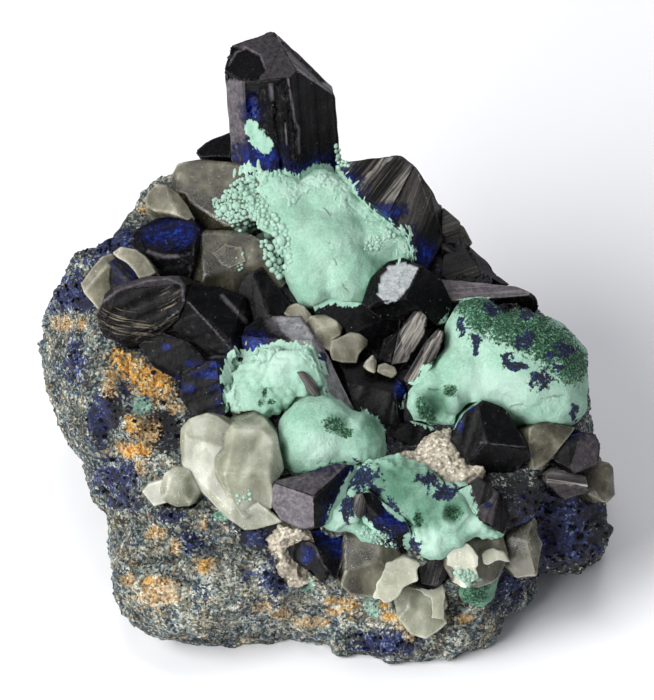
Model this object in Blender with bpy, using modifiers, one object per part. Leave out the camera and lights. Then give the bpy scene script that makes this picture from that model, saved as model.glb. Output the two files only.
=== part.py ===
"""Azurite and malachite specimen, at its real size of about 73 mm across.

Near-black azurite crystals, mint malachite and grey calcite stand on a lump of ore that rests on a flat cut.
The crystals stand on a face that leans back from the viewer, so every place is given square to that view:
across to the right, up the picture and out towards the viewer, in millimetres. An empty carries that frame
and every piece is its child. Where two pieces meet, the one that grew later has a pocket for the other.
"""

import math
import random

import bmesh
import bpy
from mathutils import Matrix, Vector, noise

MM = 0.001
VIEW_ELEVATION = 40.0  # degrees above the horizon from which the display face is seen
FRAME_PLACE = (0.25, -4.5, 31.9)  # mm, the display frame's origin above the resting face
GAP = 0.3  # mm left round a piece that sits in another
POCKET_GAP = 0.5  # mm, the same for a rough mass, whose pocket is cut more coarsely
LEAST_POCKET_FACES = 90
POCKET_SHARE = 0.4  # a pocket is never seen, so it is cut with that share of the piece's own faces
SOLVER = "MANIFOLD"  # the exact one gives these rough masses another mesh on each run, at times an empty one
CUT_SPARE = 60.0  # mm, longer than anything that it cuts

# The display face climbs away from the viewer: it falls back this much for each millimetre up.
FACE_FALL = 0.42
# The walls that the viewer sees: a point on each and the way it looks, as (across, up, out).
ORE_WALLS = [
    ((0, 0, -1.4), (0, 0.387, 0.922)),  # the display face itself
    ((0, -22.0, 7.2), (0, -0.643, 0.766)),  # upright front
    ((20.0, -22.0, 7.2), (0.64, -0.495, 0.590)),
    ((-22.3, -16.0, 5.3), (-0.85, -0.15, 0.5)),
    ((-29.0, 8.0, -5.2), (-0.55, 0.35, 0.76)),
]
ROOT = 5.0  # mm that a crystal is rooted under the face that it stands on

ORE_VOXEL = 1.15
ORE_FACES = 1150
ORE_SWELLS = ((12.0, 1.4), (5.5, 1.1), (3.0, 0.6))  # wavelength and height of its lumps, mm
ORE_SEED = Vector((3.1, 7.7, 1.9))
BACK_WALL_Y = 27.5  # mm behind the display frame's origin

SOFT_ANGLE = math.radians(50)  # malachite's swells are shaded smooth up to this fold
# Each material's colour and roughness.
MATERIALS = {
    "ore": ((0.11, 0.12, 0.11), 0.85),
    "azurite": ((0.02, 0.02, 0.05), 0.3),
    "malachite": ((0.42, 0.72, 0.58), 0.7),
    "calcite": ((0.55, 0.53, 0.45), 0.35),
    "calcite_crust": ((0.72, 0.68, 0.6), 0.6),
}

# Outline of the ore as the viewer sees it, from the top left anticlockwise.
ORE_OUTLINE = [
    (-22.3, 20.3), (-25.4, 17.1), (-27.9, 13.4), (-30.4, 11.8), (-32.9, 9.0), (-35.0, 5.5),
    (-35.9, 1.3), (-34.8, -2.9), (-33.3, -6.6), (-31.6, -11.0), (-30.4, -13.5), (-29.8, -16.6),
    (-28.5, -18.8), (-27.0, -20.8), (-27.3, -22.3), (-26.5, -26.0), (-24.8, -29.8), (-22.3, -32.5),
    (-19.1, -34.8), (-16.0, -36.4), (-12.3, -37.0), (-8.3, -36.6), (-3.5, -35.8), (0.9, -36.0),
    (4.0, -37.9), (9.0, -38.9), (12.8, -38.8), (16.5, -37.3), (20.3, -35.4), (21.5, -32.9),
    (25.0, -30.8), (25.3, -28.5), (24.9, -27.5), (27.1, -27.6), (30.9, -28.1), (33.8, -26.0),
    (34.8, -23.5), (34.9, -20.4), (34.3, -18.3), (33.8, -14.8), (32.1, -11.0), (30.9, -6.0),
    (29.0, 0.9), (25.3, 5.0), (21.5, 8.4), (17.8, 12.8), (14.6, 17.1), (9.0, 20.3),
    (1.5, 22.1), (-6.0, 23.0), (-12.3, 24.0), (-16.6, 24.0), (-20.4, 22.1),
]

# Lumps that stand proud of the ore's broken faces: place, then half-sizes across, up and out.
ORE_LUMPS = [
    ((-15.5, -27.5, 0.5), (11.5, 8.0, 5.2)),
    ((-27.5, -5.0, -5.0), (5.5, 10.5, 6.0)),
    ((9.0, -33.0, -4.0), (12.5, 5.5, 4.6)),
    ((29.0, -20.5, -5.5), (5.8, 7.5, 5.8)),
    ((-27.0, 8.5, -7.5), (7.0, 6.0, 4.5)),
    ((17.0, -12.0, -1.0), (9.0, 5.0, 5.0)),
    ((-20.0, -19.5, 2.6), (5.0, 4.5, 4.0)),
]


def facet(place, normal):
    """A flat crystal face: a point on it and the way it looks, as (across, up, out)."""
    return place, normal


# Azurite. Each crystal: outline as seen, how far out it reaches, how deep it is rooted, and its faces.
TOWER = dict(
    section=[(-11.5, -12.2), (-9.4, -9.4), (-7.5, -8.8), (-3.5, -8.6), (1.9, -13.5), (1.5, -17.0),
             (-4.0, -19.3), (-10.5, -17.2)],
    foot=17.0, top=44.0, lean=(-0.074, 0.36),
    facets=[
        facet((-7.9, 33.7, -2.2), (-0.15, 0.78, 0.61)),
        facet((-6.6, 39.2, -8.0), (0.67, 0.70, 0.22)),
        facet((-12.2, 36.2, -4.0), (-0.75, 0.60, 0.25)),
    ],
)

AZURITE = {
    "azurite_striated_crystal": [
        dict(outline=[(2.1, 24.9), (9.4, 25.0), (11.5, 22.5), (15.6, 18.0), (15.9, 16.9), (14.0, 12.8),
                      (12.1, 10.0), (11.0, 11.0), (9.6, 14.4), (7.3, 16.4), (4.4, 19.4), (2.4, 21.5)],
             near=0.0, lean=(0.2, 0.25),
             facets=[facet((5.5, 20.0, -4.5), (-0.35, 0.55, 0.76)),
                     facet((12.6, 17.0, -5.5), (0.62, 0.05, 0.78)),
                     facet((14.0, 17.0, -7.0), (0.85, 0.15, 0.50))]),
    ],
    "azurite_rear_left_crystal": [
        dict(outline=[(-16.8, 25.5), (-15.3, 27.0), (-11.9, 28.0), (-11.9, 24.0), (-16.0, 24.6)],
             near=-9.0, lean=(-0.3, 0.4), facets=[facet((-14.0, 26.0, -11.5), (-0.3, 0.6, 0.74))]),
    ],
    "azurite_right_ridge": [
        dict(outline=[(13.8, 15.9), (15.9, 16.3), (18.0, 13.1), (19.9, 11.5), (21.1, 9.4), (22.5, 8.5),
                      (17.8, 8.0), (13.5, 9.0)],
             near=-5.0, lean=(0.3, 0.2),
             facets=[facet((18.0, 12.5, -9.5), (0.5, 0.62, 0.60)),
                     facet((17.0, 10.5, -7.8), (0.1, -0.2, 0.97))]),
        dict(outline=[(12.1, 9.0), (15.9, 8.9), (24.0, 8.0), (25.9, 7.0), (26.6, 5.9), (26.4, 4.9),
                      (22.1, 5.4), (17.8, 6.0), (14.0, 6.4), (11.5, 7.5)],
             near=-1.0, lean=(0.35, 0.0),
             facets=[facet((19.0, 7.7, -4.0), (0.02, 0.62, 0.78)),
                     facet((20.0, 6.6, -3.4), (0.1, -0.7, 0.7)),
                     facet((25.9, 6.2, -4.5), (0.8, 0.1, 0.6))]),
    ],
    "azurite_mirror_crystal": [
        dict(outline=[(4.4, 6.1), (5.5, 9.3), (7.5, 11.1), (9.3, 11.6), (11.8, 10.6), (14.0, 9.0),
                      (15.3, 6.5), (14.6, 3.8), (12.1, 3.0), (9.0, 4.3), (6.5, 4.6)],
             near=4.0,
             facets=[facet((8.5, 8.6, 1.0), (-0.12, 0.42, 0.90)),
                     facet((5.9, 8.3, 0.6), (-0.75, 0.3, 0.6)),
                     facet((10.8, 8.3, 1.2), (0.62, 0.0, 0.78)),
                     facet((9.3, 11.0, 0.2), (-0.1, 0.85, 0.5)),
                     facet((8.0, 5.9, 1.4), (0.0, -0.7, 0.7))]),
    ],
    "azurite_middle_crystal": [
        dict(outline=[(-2.0, 6.6), (0.9, 6.6), (4.3, 6.0), (6.5, 5.0), (9.0, 5.0), (8.8, 2.1), (6.3, 0.0),
                      (3.4, 0.9), (1.9, 3.4), (-1.3, 4.5)],
             near=0.0,
             facets=[facet((3.0, 4.5, -2.0), (0.05, 0.35, 0.93)),
                     facet((5.5, 2.5, -1.8), (0.3, -0.2, 0.93))]),
    ],
    "azurite_blades": [
        dict(outline=[(11.3, 5.4), (12.3, 4.3), (12.0, 2.5), (9.8, -1.1), (8.1, -1.4), (9.0, 2.5)],
             near=3.0, facets=[facet((10.3, 1.8, 1.2), (-0.35, 0.2, 0.92))]),
        dict(outline=[(13.8, 2.8), (14.4, 2.3), (13.6, 0.0), (11.5, -4.3), (9.5, -3.6), (12.1, 0.9)],
             near=4.0, facets=[facet((12.1, -1.0, 2.4), (-0.4, 0.15, 0.9))]),
        dict(outline=[(6.5, -1.0), (7.1, 1.5), (8.8, 2.5), (9.6, 0.9), (8.6, -1.4)],
             near=1.0, facets=[facet((8.0, 0.5, -0.5), (-0.2, 0.5, 0.84))]),
        dict(outline=[(11.6, 3.6), (13.3, 3.2), (12.4, 0.4), (9.6, -3.4), (8.3, -2.6), (10.6, 1.0)],
             near=-1.0, facets=[facet((11.0, 0.5, -1.6), (0.1, 0.2, 0.97))]),
    ],
    "azurite_hollow_crystal": [
        dict(outline=[(1.5, -1.0), (4.3, -1.3), (8.4, -3.3), (10.3, -5.0), (10.0, -8.3), (9.0, -10.0),
                      (7.1, -10.5), (5.0, -8.8), (3.0, -5.4)],
             near=4.0,
             facets=[facet((5.0, -3.0, 1.2), (0.05, 0.6, 0.8)),
                     facet((6.5, -6.0, 2.3), (-0.1, -0.05, 0.99)),
                     facet((9.3, -6.5, 1.6), (0.7, 0.0, 0.7))]),
        dict(outline=[(6.9, -9.6), (10.3, -8.7), (13.6, -9.6), (14.0, -12.0), (10.9, -12.9), (7.8, -12.5)],
             near=4.0, facets=[facet((10.5, -11.0, 2.6), (0.05, 0.3, 0.95))]),
    ],
    "azurite_left_cluster": [
        dict(outline=[(-29.1, 5.0), (-27.9, 7.2), (-26.0, 8.4), (-22.3, 9.4), (-18.6, 9.4), (-17.6, 8.2),
                      (-17.8, 6.2), (-18.8, 4.3), (-22.0, 2.2), (-25.4, 1.0), (-27.9, 2.0), (-28.9, 3.5)],
             near=6.0, lean=(-0.35, 0.1),
             facets=[facet((-23.0, 5.0, 3.2), (-0.05, -0.12, 0.99)),
                     facet((-22.0, 8.3, 3.4), (-0.12, 0.75, 0.65)),
                     facet((-22.0, 3.0, 2.8), (0.2, -0.62, 0.76)),
                     facet((-28.2, 4.5, 2.2), (-0.7, 0.1, 0.7))]),
        dict(outline=[(-18.8, 8.6), (-13.3, 7.9), (-10.6, 6.8), (-9.5, 4.3), (-9.8, 0.9), (-12.5, -1.3),
                      (-15.4, -2.0), (-18.5, 0.0), (-22.0, 2.2), (-20.5, 5.5)],
             near=5.0,
             facets=[facet((-12.5, 5.5, 0.8), (0.45, 0.42, 0.79)),
                     facet((-16.5, 2.0, 1.9), (-0.2, -0.32, 0.93)),
                     facet((-10.2, 3.0, -1.0), (0.85, 0.1, 0.5))]),
        dict(outline=[(-23.5, 0.9), (-21.6, 3.0), (-17.5, 1.2), (-14.6, -1.6), (-18.8, -3.3), (-21.6, -2.0)],
             near=4.0, lean=(-0.2, -0.1),
             facets=[facet((-19.5, -0.8, 1.9), (-0.1, -0.1, 0.99)),
                     facet((-20.8, -1.8, 1.6), (-0.35, -0.6, 0.72))]),
        dict(outline=[(-18.1, -3.0), (-15.1, -1.3), (-12.5, -0.9), (-11.4, -3.3), (-12.8, -7.5),
                      (-15.4, -8.5), (-17.5, -7.0), (-18.5, -5.4)],
             near=6.0, lean=(-0.2, -0.2),
             facets=[facet((-15.0, -5.0, 3.4), (-0.1, -0.05, 0.99)),
                     facet((-12.5, -4.0, 2.4), (0.75, 0.1, 0.65))]),
    ],
    "azurite_upper_left_crystal": [
        dict(outline=[(-25.0, 15.5), (-22.5, 17.3), (-17.9, 17.3), (-16.6, 15.5), (-17.1, 11.3),
                      (-18.1, 8.9), (-21.6, 9.4), (-22.8, 12.0), (-24.8, 13.6)],
             near=1.0, lean=(-0.3, 0.2),
             facets=[facet((-20.0, 12.9, -2.6), (-0.1, 0.62, 0.78)),
                     facet((-20.0, 12.9, -2.6), (0.05, -0.25, 0.97)),
                     facet((-23.6, 14.0, -4.0), (-0.6, 0.3, 0.74))]),
    ],
    "azurite_shaded_crystal": [
        dict(outline=[(-10.6, 9.3), (-8.3, 10.5), (-4.8, 5.9), (-5.6, 3.8), (-9.1, 3.8), (-11.6, 6.3)],
             near=1.0,
             facets=[facet((-7.5, 7.0, -2.4), (0.35, 0.35, 0.87)),
                     facet((-9.6, 6.5, -2.6), (-0.35, 0.1, 0.93))]),
    ],
    "azurite_coated_crystal": [
        dict(outline=[(-11.6, 2.0), (-8.3, 4.3), (-3.5, 4.3), (-0.4, 0.0), (1.5, -4.1), (3.4, -7.8),
                      (0.9, -8.5), (-3.5, -7.9), (-9.8, -6.0), (-11.0, -2.3)],
             near=7.0,
             facets=[facet((-5.0, -1.0, 2.2), (-0.25, 0.1, 0.96)),
                     facet((-0.8, -2.9, 3.4), (0.70, 0.30, 0.65)),
                     facet((-7.0, 1.4, 1.7), (-0.15, 0.68, 0.72))]),
    ],
    "azurite_front_crystal": [
        dict(outline=[(-7.6, -18.1), (-6.5, -16.0), (-2.9, -15.1), (0.9, -13.9), (4.3, -14.3), (6.3, -15.8),
                      (5.5, -18.5), (2.1, -20.4), (-1.3, -21.6), (-3.1, -21.9), (-5.6, -20.9)],
             near=16.0,
             facets=[facet((-3.0, -18.5, 11.4), (-0.35, -0.28, 0.89)),
                     facet((-2.0, -17.0, 11.4), (0.0, 0.66, 0.75)),
                     facet((-1.3, -19.0, 11.3), (0.70, -0.2, 0.68))]),
    ],
    "azurite_right_crystal": [
        dict(outline=[(16.0, -11.0), (17.5, -7.6), (19.6, -6.1), (22.5, -7.1), (24.6, -10.8), (25.4, -12.9),
                      (23.8, -14.9), (20.5, -15.1), (17.8, -13.8)],
             near=12.0, lean=(0.15, 0.0),
             facets=[facet((19.7, -11.0, 8.6), (-0.62, 0.12, 0.78)),
                     facet((19.7, -11.0, 8.6), (0.42, 0.42, 0.80)),
                     facet((20.5, -11.2, 8.4), (0.15, -0.62, 0.77))]),
    ],
    "azurite_right_end": [
        dict(outline=[(27.1, -12.5), (30.3, -10.6), (31.9, -10.1), (33.8, -10.3), (34.3, -11.4),
                      (33.6, -13.9), (29.6, -15.0)],
             near=7.0, lean=(0.5, 0.0),
             facets=[facet((29.5, -12.0, 4.2), (-0.35, 0.5, 0.79)),
                     facet((32.5, -12.0, 4.0), (0.5, 0.25, 0.83))]),
        dict(outline=[(26.3, -15.4), (28.4, -14.4), (31.3, -14.6), (32.2, -17.3), (29.0, -18.1)],
             near=7.0, lean=(0.45, -0.1), facets=[facet((29.0, -16.0, 4.6), (0.0, 0.5, 0.86))]),
    ],
    "azurite_grey_wedge": [
        dict(outline=[(16.0, -17.3), (19.3, -16.0), (21.5, -17.6), (22.8, -21.0), (21.9, -22.5), (19.0, -20.9)],
             near=12.0, lean=(0.2, -0.1),
             facets=[facet((19.5, -18.5, 9.0), (0.2, 0.35, 0.91)),
                     facet((21.3, -19.5, 8.4), (0.75, 0.1, 0.65))]),
    ],
    "azurite_front_pair": [
        dict(outline=[(-5.1, -23.9), (-3.5, -23.3), (-1.0, -23.9), (0.3, -26.0), (-0.4, -28.5), (-2.5, -27.0),
                      (-4.5, -25.5)],
             near=8.0, lean=(-0.1, -0.3), facets=[facet((-2.5, -25.5, 6.0), (-0.1, 0.1, 0.99))]),
        dict(outline=[(-2.0, -22.3), (0.3, -22.0), (1.9, -23.1), (2.0, -25.0), (1.0, -27.9), (-0.5, -26.0)],
             near=9.0, lean=(0.0, -0.2), facets=[facet((0.4, -24.0, 7.0), (0.35, 0.3, 0.88))]),
    ],
    "azurite_front_chip": [
        dict(outline=[(11.0, -26.0), (12.8, -24.7), (14.3, -26.0), (14.7, -28.5), (12.8, -29.3),
                      (10.9, -28.8)],
             near=7.0, lean=(0.0, -0.4), facets=[facet((12.8, -27.0, 4.4), (0.1, 0.2, 0.97))]),
    ],
    "azurite_blue_ridge": [
        dict(outline=[(3.4, -17.9), (5.0, -17.3), (6.5, -18.5), (9.3, -20.4), (10.6, -23.5), (9.6, -25.0),
                      (7.1, -23.3), (4.3, -21.0)],
             near=13.0,
             facets=[facet((6.0, -19.8, 10.4), (0.35, 0.4, 0.85)),
                     facet((6.0, -20.4, 10.3), (-0.35, -0.35, 0.87)),
                     facet((9.0, -23.0, 8.0), (0.1, -0.75, 0.65))]),
    ],
}

# Calcite: blunt crystals with dull rounded edges.
CALCITE = {
    "calcite_upper_left": [
        dict(outline=[(-19.9, 23.4), (-19.0, 24.5), (-16.6, 25.0), (-12.3, 24.4), (-9.0, 24.3), (-8.3, 21.5),
                      (-8.8, 17.5), (-12.3, 15.8), (-15.6, 16.3), (-16.9, 18.0), (-17.5, 20.3),
                      (-19.5, 20.9)],
             near=-4.0, lean=(-0.1, 0.3), facets=[facet((-14.0, 20.0, -7.5), (-0.12, 0.28, 0.95))]),
    ],
    "calcite_left_plate": [
        dict(outline=[(-16.4, 14.6), (-14.1, 15.6), (-9.8, 15.9), (-6.0, 14.2), (-4.8, 11.3), (-5.6, 8.4),
                      (-8.3, 6.5), (-11.0, 7.5), (-16.6, 8.0), (-17.3, 11.3)],
             near=0.0,
             facets=[facet((-11.0, 12.0, -3.6), (-0.05, 0.3, 0.95)),
                     facet((-11.0, 9.8, -3.2), (0.1, -0.35, 0.93)),
                     facet((-6.4, 10.5, -4.0), (0.65, 0.1, 0.75))]),
    ],
    "calcite_tooth": [
        dict(outline=[(-22.6, 19.9), (-21.3, 21.3), (-19.5, 21.0), (-17.8, 19.4), (-16.8, 17.3),
                      (-20.4, 17.0), (-22.5, 17.5)],
             near=-4.0, lean=(-0.3, 0.3), facets=[facet((-20.0, 19.0, -6.4), (-0.15, 0.45, 0.88))]),
    ],
    "calcite_left_shells": [
        dict(outline=[(-31.0, 7.8), (-29.5, 10.3), (-27.8, 12.5), (-26.8, 11.8), (-27.0, 8.8), (-29.0, 5.4)],
             near=1.0, lean=(-0.5, 0.2), facets=[facet((-28.8, 9.0, -1.8), (-0.4, 0.3, 0.87))]),
        dict(outline=[(-27.4, 12.9), (-25.0, 13.4), (-22.6, 12.0), (-21.4, 9.3), (-24.1, 8.9), (-25.0, 10.8)],
             near=0.0, lean=(-0.3, 0.3), facets=[facet((-24.3, 11.0, -2.0), (0.1, 0.45, 0.89))]),
    ],
    "calcite_centre": [
        dict(outline=[(-5.6, 4.6), (-4.4, 6.0), (-2.5, 5.2), (-1.6, 3.4), (-3.6, 2.0), (-5.3, 3.0)],
             near=2.0, facets=[facet((-3.8, 4.0, -0.3), (-0.1, 0.4, 0.91))]),
        dict(outline=[(-3.3, 3.8), (-1.6, 4.6), (0.6, 4.5), (1.9, 3.0), (1.3, 0.9), (-0.4, 0.0), (-2.0, 1.5)],
             near=3.0, facets=[facet((-0.6, 2.5, 0.9), (0.05, 0.4, 0.91))]),
        dict(outline=[(0.3, 1.2), (2.1, 2.3), (3.8, 2.4), (5.1, 1.0), (4.0, -0.8), (1.5, -1.4), (0.0, -0.4)],
             near=3.0, facets=[facet((2.6, 0.6, 1.1), (0.15, 0.3, 0.94))]),
    ],
    "calcite_small_teeth": [
        dict(outline=[(4.4, -1.3), (5.4, -0.1), (6.3, -1.9), (5.2, -2.9), (4.3, -2.3)],
             near=4.0, facets=[facet((5.3, -1.5, 2.6), (0.1, 0.3, 0.95))]),
        dict(outline=[(6.0, -1.4), (7.8, -1.2), (9.0, -3.1), (7.2, -3.5), (5.6, -2.4)],
             near=3.5, facets=[facet((7.3, -2.3, 2.2), (0.2, 0.3, 0.93))]),
    ],
    "calcite_front_left": [
        dict(outline=[(-18.8, -9.8), (-17.3, -7.8), (-14.1, -7.5), (-12.0, -9.1), (-12.2, -12.9),
                      (-13.3, -17.9), (-16.3, -16.4), (-18.8, -13.3)],
             near=11.0, lean=(-0.2, 0.0),
             facets=[facet((-15.5, -11.0, 8.2), (-0.15, 0.35, 0.92)),
                     facet((-16.0, -14.0, 8.6), (-0.3, -0.3, 0.9))]),
        dict(outline=[(-13.3, -11.0), (-11.4, -8.5), (-8.3, -8.4), (-6.3, -11.0), (-5.4, -15.0), (-7.0, -18.8),
                      (-10.4, -21.9), (-12.5, -19.5), (-14.1, -15.4)],
             near=13.0, lean=(0.0, -0.15),
             facets=[facet((-9.5, -12.0, 9.8), (0.05, 0.45, 0.89)),
                     facet((-10.0, -17.0, 11.0), (-0.2, -0.25, 0.94)),
                     facet((-6.8, -14.5, 9.6), (0.7, 0.05, 0.7))]),
        dict(outline=[(-23.3, -17.9), (-22.3, -16.3), (-20.4, -14.5), (-18.3, -13.6), (-16.4, -15.4),
                      (-16.0, -17.8), (-18.3, -19.9), (-21.0, -19.5)],
             near=11.0, lean=(-0.4, -0.1),
             facets=[facet((-18.8, -16.8, 8.8), (-0.1, 0.1, 0.99)),
                     facet((-21.3, -17.3, 7.8), (-0.5, 0.0, 0.86))]),
    ],
    "calcite_front_block": [
        dict(outline=[(2.1, -22.3), (5.3, -22.4), (7.5, -23.5), (9.0, -25.4), (11.6, -26.8), (10.9, -28.9),
                      (9.0, -30.3), (6.5, -31.0), (2.8, -30.5), (0.8, -28.5)],
             near=11.0, lean=(0.0, -0.3),
             facets=[facet((4.5, -25.0, 7.8), (-0.15, 0.3, 0.94)),
                     facet((5.5, -28.5, 7.4), (0.05, -0.2, 0.98)),
                     facet((9.4, -27.5, 6.2), (0.4, 0.1, 0.91))]),
    ],
    "calcite_front_low": [
        dict(outline=[(8.4, -29.6), (11.5, -29.0), (14.3, -28.9), (15.1, -31.0), (14.8, -33.8),
                      (12.8, -36.1), (10.3, -35.5), (8.5, -32.9)],
             near=6.0, lean=(0.0, -0.2),
             facets=[facet((12.0, -31.5, 3.6), (0.1, 0.05, 0.99)),
                     facet((11.5, -34.0, 2.8), (-0.1, -0.4, 0.91))]),
    ],
    "calcite_front_right": [
        dict(outline=[(14.5, -24.5), (16.5, -22.3), (19.6, -22.0), (21.9, -23.5), (22.8, -26.0), (21.5, -28.8),
                      (19.0, -30.0), (16.0, -29.5), (14.6, -27.3)],
             near=10.0, lean=(0.15, -0.25),
             facets=[facet((18.5, -24.0, 7.4), (0.1, 0.4, 0.91)),
                     facet((17.0, -27.0, 7.2), (-0.2, -0.15, 0.97)),
                     facet((21.0, -26.5, 5.8), (0.5, -0.1, 0.86))]),
        dict(outline=[(21.8, -26.0), (22.5, -22.9), (24.6, -20.0), (26.5, -21.1), (27.3, -24.1),
                      (26.0, -27.9), (23.8, -28.3)],
             near=8.0, lean=(0.45, -0.2),
             facets=[facet((24.5, -22.5, 4.8), (0.0, 0.4, 0.91)),
                     facet((25.0, -25.5, 4.4), (0.25, -0.2, 0.94))]),
    ],
    "calcite_right": [
        dict(outline=[(24.6, -9.6), (27.1, -8.6), (31.1, -9.4), (29.0, -12.0), (26.5, -14.6), (25.0, -15.0)],
             near=7.0, lean=(0.3, 0.0), facets=[facet((27.0, -11.0, 4.6), (0.15, 0.2, 0.97))]),
    ],
    "calcite_end": [
        dict(outline=[(31.5, -14.5), (34.0, -13.5), (36.0, -14.1), (37.1, -16.6), (36.3, -18.3),
                      (34.4, -18.9), (32.5, -17.8)],
             near=4.0, lean=(0.7, 0.0),
             facets=[facet((34.2, -16.0, 1.6), (0.1, 0.15, 0.98)),
                     facet((35.8, -16.0, 0.6), (0.7, 0.0, 0.7))]),
    ],
    "calcite_rear": [
        dict(outline=[(15.5, 16.6), (17.2, 15.9), (18.1, 13.8), (17.0, 12.6), (15.0, 14.0)],
             near=-9.0, lean=(0.4, 0.3), facets=[facet((17.0, 15.0, -11.0), (0.4, 0.4, 0.82))]),
    ],
}
WEAR_VOXEL = 0.5
WEAR_PASSES = 6
WORN_FACES = 56
CALCITE_SHARP = ("calcite_centre", "calcite_small_teeth", "calcite_rear")  # too small to look worn

# Malachite: swelling masses, as balls that run together. Each has its place and its half-sizes.
MALACHITE = {
    "malachite_main_mass": [
        ((-7.9, 20.9, -9.6), (3.0, 3.0, 2.6)), ((-5.4, 18.6, -8.6), (4.2, 4.2, 3.4)),
        ((-1.2, 19.3, -9.0), (3.8, 3.6, 3.4)), ((1.0, 17.4, -8.2), (4.0, 4.4, 3.8)),
        ((4.2, 17.2, -8.0), (3.0, 2.8, 2.8)), ((6.2, 14.0, -6.6), (4.0, 3.4, 3.4)),
        ((9.0, 13.0, -6.0), (2.4, 2.2, 2.2)), ((2.6, 20.6, -9.6), (2.0, 1.8, 2.0)),
        ((0.3, 12.8, -5.8), (5.2, 5.0, 4.4)),
        ((-2.0, 10.3, -4.8), (3.6, 3.8, 3.4)), ((2.6, 9.6, -4.6), (3.9, 3.9, 3.6)),
        ((-3.0, 14.0, -6.8), (3.6, 4.2, 3.8)), ((-1.9, 7.6, -3.8), (2.3, 2.4, 2.2)),
        ((-9.2, 17.8, -7.6), (2.0, 2.0, 1.6)), ((-8.0, 15.4, -6.4), (1.6, 1.9, 1.6)),
    ],
    "malachite_right_dome": [
        ((24.0, -2.2, -0.6), (8.7, 7.3, 7.6)), ((19.0, 1.6, -0.8), (4.4, 5.2, 5.2)),
        ((17.6, -3.4, 0.6), (4.4, 5.0, 5.0)), ((27.5, -6.2, 0.2), (4.8, 4.3, 5.0)),
        ((15.3, -6.6, 2.4), (2.6, 2.8, 2.8)), ((13.2, -4.2, 1.8), (2.0, 2.2, 2.2)),
        ((11.6, -6.6, 2.8), (2.0, 2.3, 2.1)), ((13.0, -8.2, 3.0), (1.1, 1.2, 1.2)),
    ],
    "malachite_centre_ball": [
        ((-1.2, -10.3, 4.6), (5.0, 4.9, 5.0)), ((3.2, -10.9, 4.9), (3.9, 3.5, 3.9)),
        ((-3.4, -11.6, 4.4), (3.0, 3.6, 3.4)), ((5.2, -12.2, 4.6), (2.0, 2.2, 2.4)),
    ],
    "malachite_frilled_crust": [
        ((-9.8, -3.6, 2.0), (2.8, 3.0, 1.7)), ((-11.5, -5.4, 2.2), (1.7, 2.2, 1.5)),
        ((-6.8, -2.2, 2.6), (3.1, 2.9, 1.7)), ((-3.7, -1.7, 3.3), (2.6, 2.4, 1.4)),
        ((-2.2, -3.8, 3.7), (2.2, 2.0, 1.4)), ((-5.2, -5.0, 3.2), (3.2, 2.4, 1.9)),
        ((-8.0, -6.4, 3.6), (2.1, 2.1, 2.2)), ((-9.4, -7.7, 3.0), (2.1, 1.4, 1.7)),
    ],
    "malachite_front_crust": [
        ((7.3, -15.3, 6.6), (4.2, 2.6, 3.0)), ((10.3, -16.2, 7.4), (3.2, 2.8, 2.6)),
        ((9.6, -18.3, 7.6), (3.4, 2.6, 2.8)), ((12.8, -19.1, 7.8), (3.3, 3.2, 2.6)),
        ((15.8, -18.8, 7.8), (2.9, 2.7, 2.4)), ((18.2, -20.8, 7.0), (2.6, 1.9, 2.2)),
        ((20.0, -22.2, 6.4), (2.0, 1.2, 1.6)), ((12.9, -22.7, 6.6), (3.0, 3.0, 2.8)),
        ((15.4, -22.2, 7.0), (2.8, 2.6, 2.4)), ((3.4, -19.8, 8.0), (2.3, 2.2, 1.9)),
        ((1.0, -20.6, 7.8), (1.9, 1.9, 1.7)), ((5.0, -21.7, 7.4), (2.0, 1.6, 2.0)),
        ((3.6, -17.0, 7.0), (2.4, 2.0, 2.2)),
    ],
    "malachite_green_ball": [
        ((18.6, -29.6, 1.4), (2.5, 2.1, 2.6)), ((20.0, -28.6, 1.8), (1.5, 1.4, 1.8)),
    ],
}
MALACHITE_FACES = {
    "malachite_main_mass": 600, "malachite_right_dome": 420, "malachite_centre_ball": 180,
    "malachite_frilled_crust": 230, "malachite_front_crust": 340, "malachite_green_ball": 60,
}
MALACHITE_VOXEL = 0.5
MALACHITE_SWELLS = ((4.0, 0.35), (1.6, 0.14))
# Beads of malachite scattered over the calcite beside the main mass.
BEADS = 38
BEAD_RADIUS = (0.35, 0.75)
BEAD_FIELD = [(-15.0, 18.6), (-10.0, 21.4), (-7.6, 18.4), (-5.2, 12.4), (-5.6, 9.8), (-8.2, 12.0),
              (-9.4, 15.2), (-13.0, 16.8)]

# Rough pale crust of tiny calcite crystals.
CRUST = {
    "calcite_crust_hollow": [
        ((9.6, -13.9, 3.6), (2.6, 1.4, 2.0)), ((13.9, -13.4, 3.6), (3.0, 2.8, 2.6)),
        ((16.6, -15.4, 5.2), (2.9, 1.9, 2.2)), ((12.6, -15.0, 4.6), (2.6, 1.8, 2.0)),
        ((14.0, -11.4, 2.6), (1.6, 1.6, 2.0)),
    ],
    "calcite_crust_front": [
        ((-4.4, -22.4, 5.8), (2.4, 1.2, 1.9)), ((-6.3, -23.6, 4.8), (1.3, 1.5, 1.7)),
        ((-5.6, -26.0, 3.2), (1.2, 1.9, 1.9)), ((-3.8, -28.0, 1.8), (1.9, 1.3, 1.9)),
    ],
}
CRUST_FACES = {"calcite_crust_hollow": 140, "calcite_crust_front": 100}
CRUST_VOXEL = 0.45
CRUST_SWELLS = ((1.2, 0.5), (0.7, 0.3))


def out_of_face(up):
    """How far out the display face lies at that height."""
    return -FACE_FALL * up


def ore_depth(across, up):
    """How far out the ore's broken walls let it reach at that place."""
    reach = []
    for (a, b, c), (na, nb, nc) in ORE_WALLS:
        reach.append(c - ((across - a) * na + (up - b) * nb) / nc)
    return min(reach)


def unit(direction):
    return Vector(direction).normalized()


def to_metres(points):
    return [Vector(p) * MM for p in points]


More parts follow.
